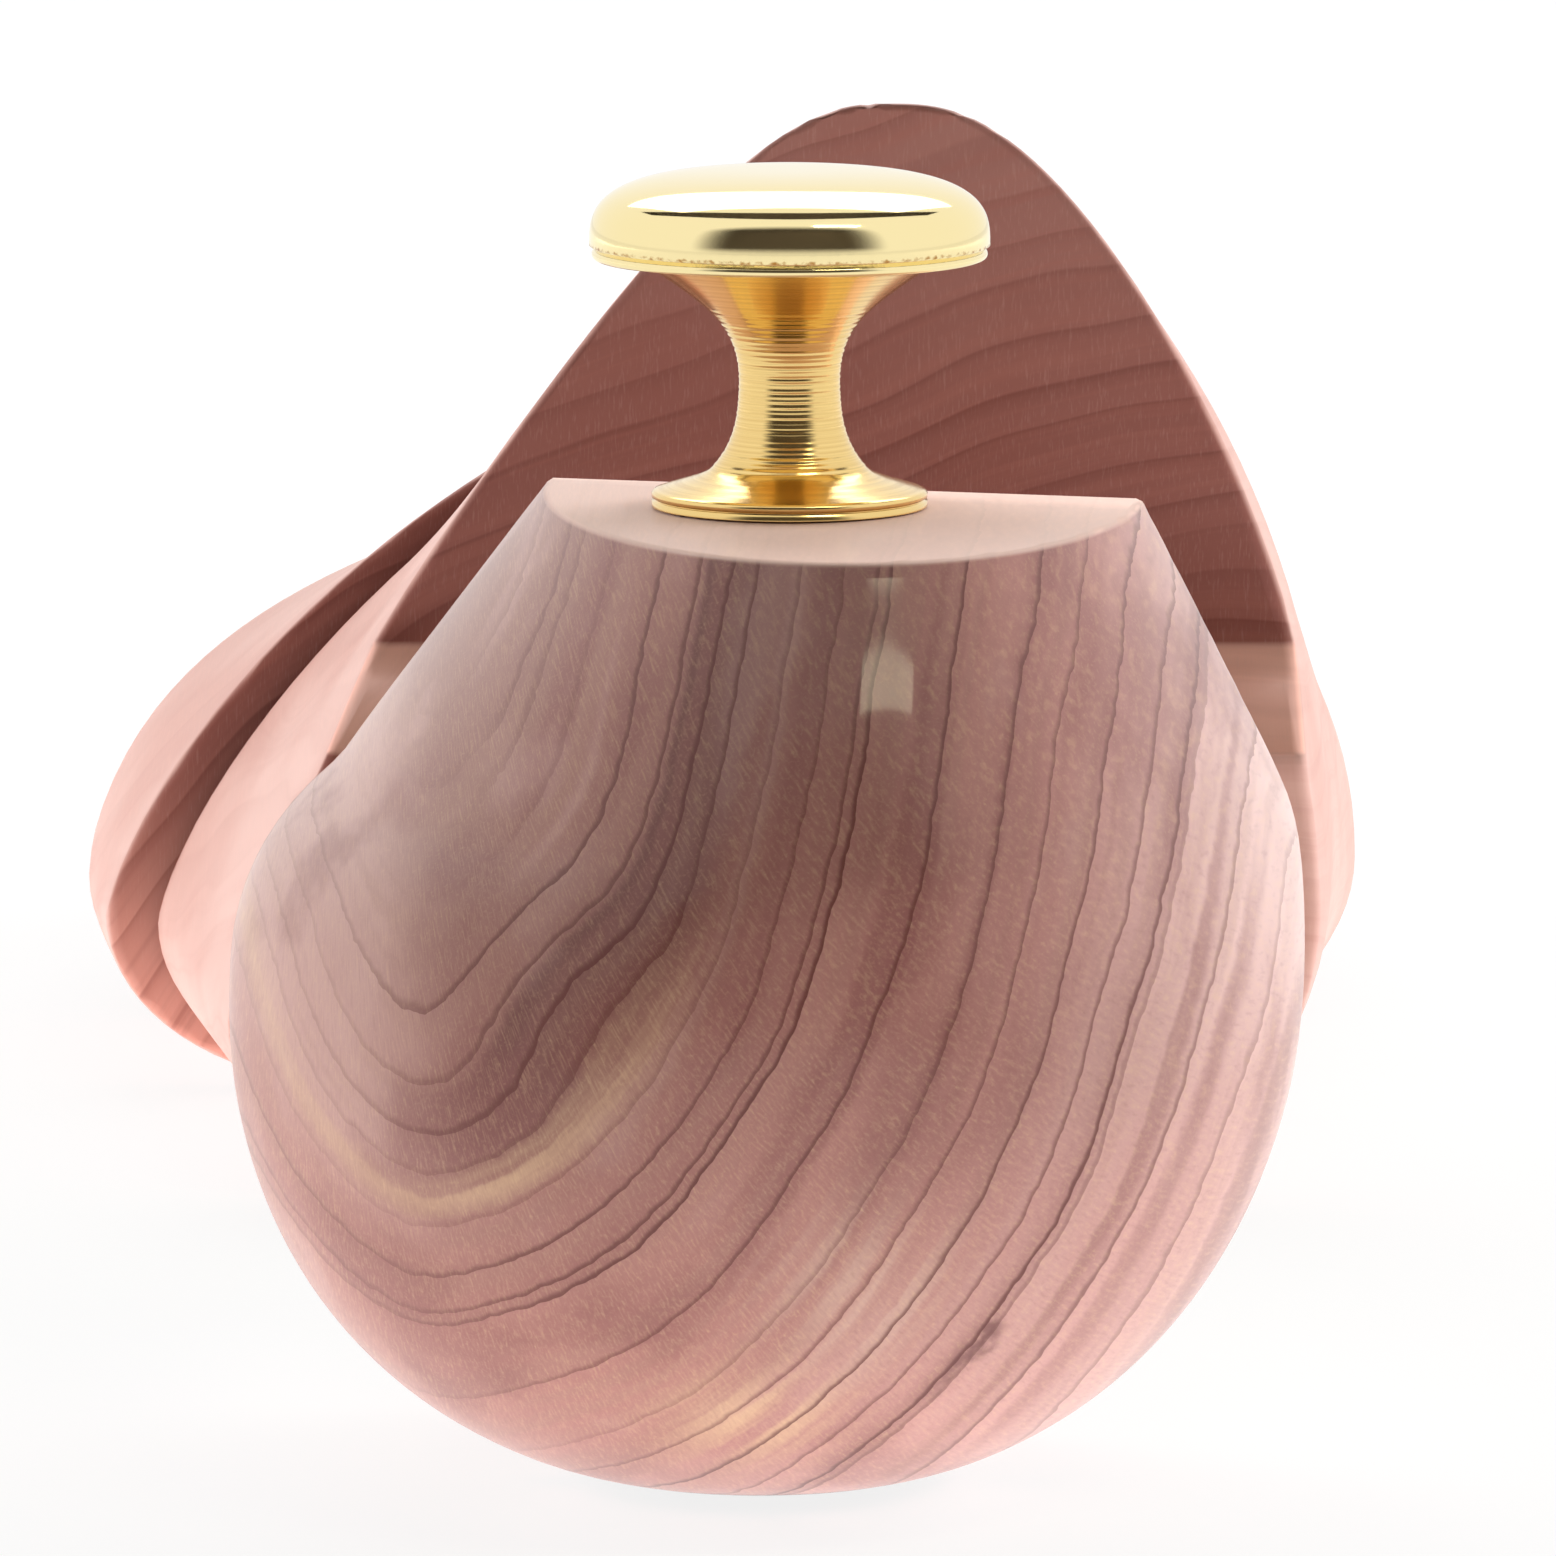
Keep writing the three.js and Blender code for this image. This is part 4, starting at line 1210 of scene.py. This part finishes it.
def rear_rings():
    """Sections from the rim to the split; the corner points come back into line on the way."""
    outline, crease, ledge = back_corners()
    moved = {i: CREASE_Z - outline[i][2] for i in crease}
    moved |= {i: LEDGE_EDGE_Z - outline[i][2] for i in ledge}
    rings = []
    for step in range(1, REAR_STEPS + 1):
        share = step / REAR_STEPS
        ring = leaning_ring(share)
        for i, rise in moved.items():
            slide_to(ring, i, ring[i][2] + rise * (1 - share))
        rings.append([(x, back_y(z) + (SPLIT_Y - back_y(z)) * share, z) for x, y, z in ring])
    return rings


# %% Forepart and side as whole lofts
FORE_STEP = 1.5  # mm between sections ahead of the split
NOSE_STEPS = 18
NOSE_BLUNT = 0.15  # the last section stops this share of a step short of the tip


def rings_to_toe(start):
    """Upright sections from a y to the toe, closer together where the nose rounds off."""
    steps = int((NOSE_Y - start) / FORE_STEP)
    places = [start + FORE_STEP * i for i in range(1, steps)]
    for i in range(NOSE_STEPS + 1):
        angle = max(i - NOSE_BLUNT, 0) / NOSE_STEPS * math.pi / 2
        places.append(NOSE_Y + (TOE_Y - NOSE_Y) * math.sin(angle))
    return [upright_ring(y) for y in places]


def whole_forepart():
    rings, faces = back_rim()
    return loft(rings + rear_rings() + rings_to_toe(SPLIT_Y), faces)


def front_of_forepart():
    """What lies ahead of the saw cut, with the rim beside the cut rounded."""
    start = SPLIT_Y + SAW_CUT
    angles = [i / RIM_STEPS * math.pi / 2 for i in range(RIM_STEPS + 1)]
    rings = [shrunk(upright_ring(start + RIM * (1 - math.cos(a))), RIM * (1 - math.sin(a))) for a in angles]
    return loft(rings + rings_to_toe(start))


# %% Fore block
FORE_EDGE = 0.3  # mm, rounding of the edges along the split


def fore_block():
    outer_half = saw_box((-REACH, SPLIT_Y, -REACH), (SPLIT_X, REACH, REACH))

    def on_saw(point):
        return abs(point.x - SPLIT_X) < ON_CUT or abs(point.y - SPLIT_Y) < ON_CUT

    def on_drill(point):
        bars = (*fore_tubes.values(), *fore_pins.values(), *side_bushes.values())
        return any(bar.on_bore(point) for bar in bars)

    shape = ease_edges(cut(whole_forepart(), [outer_half]), FORE_EDGE, on_saw)
    drills = []
    for side, tube in fore_tubes.items():
        drills.append(tube.bore(0, tube.end))
        drills.append(fore_pins[side].bore(-1, tube.middle.z))
    for end, bush in side_bushes.items():
        drills.append(bush.bore(SPLIT_X - 1, side_springs[end].end))
    return ease_edges(cut(shape, drills), BORE_EDGE, on_drill, segments=2)


make_piece("forepart", fore_block(), "forepart", "cedar", fore_wood, "fore_block")

# %% Sliding side
SPLIT_CLOSED = 0.6  # gap left along the split when the side is pressed in
SIDE_TRAVEL = travel("side_slide")
SIDE_PIN_RADIUS = 2.5


def side_block():
    face_x = SPLIT_X - SPLIT_CLOSED
    inner_half = saw_box((face_x, -REACH, -REACH), (REACH, REACH, REACH))

    def on_saw(point):
        return abs(point.x - face_x) < ON_CUT

    def on_drill(point):
        return any(pin.on_bore(point, SIDE_PIN_RADIUS) for pin in side_pins.values())

    shape = ease_edges(cut(front_of_forepart(), [inner_half]), FORE_EDGE, on_saw)
    bmesh.ops.translate(shape, vec=(-SIDE_TRAVEL, 0, 0), verts=shape.verts)
    shape = cut(shape, [pin.bore(pin.start, 0, SIDE_PIN_RADIUS) for pin in side_pins.values()])
    return ease_edges(shape, BORE_EDGE, on_drill, segments=2)


make_piece("sliding_side", side_block(), "side", "cedar", fore_wood, "side_block")

# %% [markdown]
# ## Turned pieces
# Knob, tubes, guides, stops, bushes and pins are all round, so each is half an outline spun about its
# axis. The outline is drawn upright, as radius and height, and then turned to the axis it belongs to.

# %% Spinning an outline
SPIN_STEPS = 96
TURNS = (Matrix.Rotation(math.pi / 2, 3, "Y"), Matrix.Rotation(-math.pi / 2, 3, "X"), Matrix.Identity(3))


def set_on_axis(shape, bar):
    """Turn a shape from the upright axis at the origin to the axis of a bar."""
    bmesh.ops.rotate(shape, cent=(0, 0, 0), matrix=TURNS[bar.along], verts=shape.verts)
    bmesh.ops.translate(shape, vec=bar.at(0), verts=shape.verts)
    return shape


def spun(outline, bar, ease=0.0):
    """Spin an outline of (radius, place along the axis), which ends on the axis or closes on itself."""
    shape = bmesh.new()
    verts = [shape.verts.new((radius, 0, height)) for radius, height in outline]
    pairs = list(zip(verts, verts[1:]))
    if outline[0][0] > 0:
        pairs.append((verts[-1], verts[0]))
    edges = [shape.edges.new(pair) for pair in pairs]
    bmesh.ops.spin(
        shape, geom=verts + edges, cent=(0, 0, 0), axis=(0, 0, 1), angle=2 * math.pi, steps=SPIN_STEPS,
        use_merge=True,
    )
    bmesh.ops.remove_doubles(shape, verts=shape.verts, dist=SLIVER)
    bmesh.ops.dissolve_degenerate(shape, edges=shape.edges, dist=SLIVER / 2)
    bmesh.ops.recalc_face_normals(shape, faces=shape.faces)
    if ease:
        round_off(shape, sharp_edges(shape), ease, 3, True)
    return set_on_axis(shape, bar)


def arc(middle, radius, start, end, steps):
    """Points of a round stretch of an outline, between two angles in degrees."""
    angles = [math.radians(start + (end - start) * i / steps) for i in range(steps + 1)]
    return [(middle[0] + radius * math.cos(a), middle[1] + radius * math.sin(a)) for a in angles]


# %% [markdown]
# ## Knob
# The stem is turned from brass bar: a stepped flange that sits on the wood, a waist and a trumpet that
# carries the head. The lathe leaves fine rings on it, and they are real ridges here, because each one
# catches the light. The head is pressed from sheet: a shallow dome, a crisp shoulder, a leaning side and
# a rolled rim with a seam above it, crimped under the trumpet.

# %% Knob stem
knob = Bar("knob_stem", Z)
KNOB_FLANGE = 8.34
KNOB_HOLE = (2.3, 11.8)  # radius and depth of the hole for the screw
KNOB_BASE = 0.1
STEM_LOW = 1.0  # heights above the wood
STEM_HIGH = 16.0
SEAT = 16.6
stem_radius = through([(STEM_LOW, KNOB_FLANGE), (2.3, 4.8), (6.6, 3.1), (11.2, 4.2), (STEM_HIGH, 10.4)])
FLANGE_STEPS = ((0.42, 0), (0.5, 0.2), (0.58, 0.2), (0.66, 0), (0.9, 0))  # height, depth of its groove
RIDGES_END = 12.6
RIDGE_HEIGHT = 0.012
RIDGE_WAVES = (0.05, 0.083)  # mm for each radian of two waves that together look uneven
STEM_STEPS = 260


def lathe_ridge(height):
    """Fine uneven ridges, which fade out on the trumpet."""
    fade = min(max(RIDGES_END - height, 0), 1)
    first, second = (height / wave for wave in RIDGE_WAVES)
    return RIDGE_HEIGHT * fade * (math.sin(first) + 0.7 * math.sin(second + 1))


def knob_stem():
    outline = [(0, KNOB_HOLE[1]), (KNOB_HOLE[0], KNOB_HOLE[1]), (KNOB_HOLE[0], KNOB_BASE)]
    outline.append((KNOB_FLANGE, KNOB_BASE))
    outline += [(KNOB_FLANGE - depth, height) for height, depth in FLANGE_STEPS]
    for i in range(1, STEM_STEPS + 1):
        height = STEM_LOW + (STEM_HIGH - STEM_LOW) * i / STEM_STEPS
        outline.append((stem_radius(height) + lathe_ridge(height), height))
    outline += [(stem_radius(STEM_HIGH), SEAT), (0, SEAT)]
    return spun([(radius, HEEL_TOP + height) for radius, height in outline], knob)


make_piece("knob_turned_stem", knob_stem(), "heel", "brass", brass_stem, "knob_stem")

# %% Knob head
HEAD_CEILING = 16.9
HEAD_LIP = ((10.7, 15.6), (9.9, 15.3), (9.9, 15.05))
RIM_MIDDLE = (11.62, 15.38)
RIM_RADIUS = 0.33
RIM_ARC = (-115, 60)  # degrees
RIM_ARC_STEPS = 14
SEAM = ((11.84, 15.73), (11.88, 15.8))
HEAD_HALF = 12.1
HEAD_FOOT = 15.92  # height where the side starts above the seam
HEAD_TOP = 20.5
HEAD_POWERS = (3.2, 3.0)  # rounding across and upwards
HEAD_STEPS = 40


def knob_head():
    outline = [(0, HEAD_CEILING), (HEAD_LIP[0][0], HEAD_CEILING), *HEAD_LIP]
    outline += arc(RIM_MIDDLE, RIM_RADIUS, *RIM_ARC, RIM_ARC_STEPS)
    outline += SEAM
    for i in range(HEAD_STEPS):
        angle = i / HEAD_STEPS * math.pi / 2
        radius = HEAD_HALF * math.cos(angle) ** (2 / HEAD_POWERS[0])
        rise = math.sin(angle) ** (2 / HEAD_POWERS[1])
        outline.append((radius, HEAD_FOOT + (HEAD_TOP - HEAD_FOOT) * rise))
    outline.append((0, HEAD_TOP))
    return spun([(radius, HEEL_TOP + height) for radius, height in outline], knob)


make_piece("knob_pressed_head", knob_head(), "heel", "brass", brass_head, "knob_head")

# %% [markdown]
# ## Tubes, guides and stops
# An inner tube is pinned in the heel and an outer tube in the forepart. A nylon guide in the outer tube's
# mouth lets the inner tube slide, and a nylon stop on the inner tube's end pushes on the spring.

# %% Tubes
INNER_BORE = 3.3  # radii and lengths in mm
OUTER_BORE = 5.3
OUTER_PLUG = 6
TUBE_EASE = 0.15


def heel_tube(side):
    tube, pin = heel_tubes[side], heel_pins[side]
    ends = [(tube.radius, tube.start), (tube.radius, tube.end)]
    shape = spun([(INNER_BORE, tube.start), *ends, (INNER_BORE, tube.end)], tube, TUBE_EASE)
    return cut(shape, [pin.bore(pin.start, tube.middle.z)])


def fore_tube(side):
    tube, pin = fore_tubes[side], fore_pins[side]
    floor = tube.end - OUTER_PLUG
    outline = [(0, floor), (OUTER_BORE, floor), (OUTER_BORE, tube.start)]
    outline += [(tube.radius, tube.start), (tube.radius, tube.end), (0, tube.end)]
    return cut(spun(outline, tube, TUBE_EASE), [pin.bore(pin.start, pin.end)])


for side in SIDES:
    plating = ("plated_tube", tube_plating)
    make_piece(f"inner_tube_{side}", heel_tube(side), "heel", *plating, f"heel_tube_{side}")
    make_piece(f"outer_tube_{side}", fore_tube(side), "forepart", *plating, f"fore_tube_{side}")

# %% Guides and stops
GUIDE_RADIUS = 5
GUIDE_BORE = 4.3
GUIDE_FLANGE = 2
STOP_LONG = 3
STOP_SPIGOT = 3
NYLON_EASE = 0.3


def tube_guide(bar):
    mouth = bar.start + GUIDE_FLANGE
    outline = [(GUIDE_BORE, bar.start), (bar.radius, bar.start), (bar.radius, mouth)]
    outline += [(GUIDE_RADIUS, mouth), (GUIDE_RADIUS, bar.end), (GUIDE_BORE, bar.end)]
    return spun(outline, bar, NYLON_EASE)


def tube_stop(bar):
    back = bar.end - STOP_LONG
    outline = [(0, bar.start), (STOP_SPIGOT, bar.start), (STOP_SPIGOT, back)]
    outline += [(bar.radius, back), (bar.radius, bar.end), (0, bar.end)]
    return spun(outline, bar, NYLON_EASE)


for side in SIDES:
    for name, maker, body in (("tube_guide", tube_guide, "forepart"), ("tube_stop", tube_stop, "heel")):
        node = f"{name}_{side}"
        make_piece(f"moulded_{node}", maker(Bar(node, Y)), body, "nylon", nylon, node)

# %% [markdown]
# ## Pins, bushes and the knob's screw
# Short steel pins hold the tubes in the wood from below, two headed pins guide the sliding side in brass
# bushes, and a screw draws the knob onto the heel. The screw's thread is a small ridge spun up its shank.

# %% Pins and bushes
PIN_EASE = 0.25
SIDE_PIN_HEAD_LONG = 2.5
BUSH_BORE = 2.8


def plain_pin(bar):
    outline = [(0, bar.start), (bar.radius, bar.start), (bar.radius, bar.end), (0, bar.end)]
    return spun(outline, bar, PIN_EASE)


def headed_pin(bar):
    head = bar.end - SIDE_PIN_HEAD_LONG
    outline = [(0, bar.start), (SIDE_PIN_RADIUS, bar.start), (SIDE_PIN_RADIUS, head)]
    outline += [(bar.radius, head), (bar.radius, bar.end), (0, bar.end)]
    return spun(outline, bar, PIN_EASE)


def bush(bar):
    outline = [(BUSH_BORE, bar.start), (bar.radius, bar.start), (bar.radius, bar.end), (BUSH_BORE, bar.end)]
    return spun(outline, bar, PIN_EASE)


for side in SIDES:
    heel_pin, fore_pin = plain_pin(heel_pins[side]), plain_pin(fore_pins[side])
    make_piece(f"heel_pin_{side}", heel_pin, "heel", "steel", steel, f"heel_tube_pin_{side}")
    make_piece(f"fore_pin_{side}", fore_pin, "forepart", "steel", steel, f"fore_tube_pin_{side}")
for end in ENDS:
    make_piece(f"guide_pin_{end}", headed_pin(side_pins[end]), "side", "steel", steel, f"side_pin_{end}")
    make_piece(f"bush_{end}", bush(side_bushes[end]), "forepart", "brass", brass_stem, f"side_bush_{end}")

# %% Springs and threads
WIRE_SIDES = 12
COIL_STEPS = 40  # to a turn


def wound(bar, wire, radius, stretches):
    """A round wire wound up a bar's axis in stretches of (turns, rise)."""
    shape = bmesh.new()
    place = Matrix.Translation((radius, 0, bar.start + wire / 2)) @ Matrix.Rotation(math.pi / 2, 4, "X")
    bmesh.ops.create_circle(shape, segments=WIRE_SIDES, radius=wire / 2, matrix=place)
    last = shape.verts[:] + shape.edges[:]
    for turns, rise in stretches:
        steps = round(turns * COIL_STEPS)
        last = bmesh.ops.spin(
            shape, geom=last, cent=(0, 0, 0), axis=(0, 0, 1), dvec=(0, 0, rise / steps),
            angle=2 * math.pi * turns, steps=steps,
        )["geom_last"]
    bmesh.ops.holes_fill(shape, edges=shape.edges, sides=0)
    bmesh.ops.recalc_face_normals(shape, faces=shape.faces)
    return set_on_axis(shape, bar)


def coil_spring(bar, wire, turns):
    """A compression spring, with one closed turn at each end."""
    free = bar.end - bar.start - 3 * wire
    return wound(bar, wire, bar.radius - wire / 2, [(1, wire), (turns - 2, free), (1, wire)])


# %% [markdown]
# ## Springs
# The main springs sit in the outer tubes and shorten as the heel is pushed towards the toe; the small ones
# shorten as the side is pressed in. Here each keeps its wound coils, and the share of its length that it
# keeps with its joint closed is printed.

# %% Springs and the share of their length they keep
MAIN_WIRE = 1.1
MAIN_TURNS = 11
SIDE_WIRE = 0.8
SIDE_TURNS = 8


def shorten(piece, joint_name, bar):
    """Give a spring a mesh of its own and print the share of its length that it keeps when its joint closes;
    the coils are not flattened.
    """
    keep = 1 - travel(joint_name) / (bar.end - bar.start)
    tuple(bar.at(bar.end) * MM)
    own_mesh(piece)
    print(piece.name, "keeps", round(keep, 2), "of its length")


for side in SIDES:
    node = f"main_spring_{side}"
    coil = Bar(node, Y)
    shape = coil_spring(coil, MAIN_WIRE, MAIN_TURNS)
    shorten(make_piece(f"coil_{node}", shape, "forepart", "spring_steel", steel, node), "heel_slide", coil)
for end, coil in side_springs.items():
    node = f"side_spring_{end}"
    shape = coil_spring(coil, SIDE_WIRE, SIDE_TURNS)
    shorten(make_piece(f"coil_{node}", shape, "forepart", "spring_steel", steel, node), "side_slide", coil)

# %% Knob screw
SCREW_TIP = 5
THREAD = 0.5  # height and width of the ridge
THREAD_PITCH = 1.0


def threaded_screw():
    core = knob_screw.radius - THREAD / 2
    outline = [(0, knob_screw.start), (core, knob_screw.start + SCREW_TIP), (core, knob_screw.end)]
    shape = spun([*outline, (0, knob_screw.end)], knob_screw, PIN_EASE)
    long = knob_screw.end - knob_screw.start - SCREW_TIP - THREAD
    lifted = Bar("knob_screw", Z)
    lifted.start = knob_screw.start + SCREW_TIP
    thread = wound(lifted, THREAD, core, [(long / THREAD_PITCH, long)])
    mesh = bpy.data.meshes.new("thread")
    thread.to_mesh(mesh)
    thread.free()
    shape.from_mesh(mesh)
    return shape


make_piece("threaded_knob_screw", threaded_screw(), "heel", "steel", steel, "knob_screw")
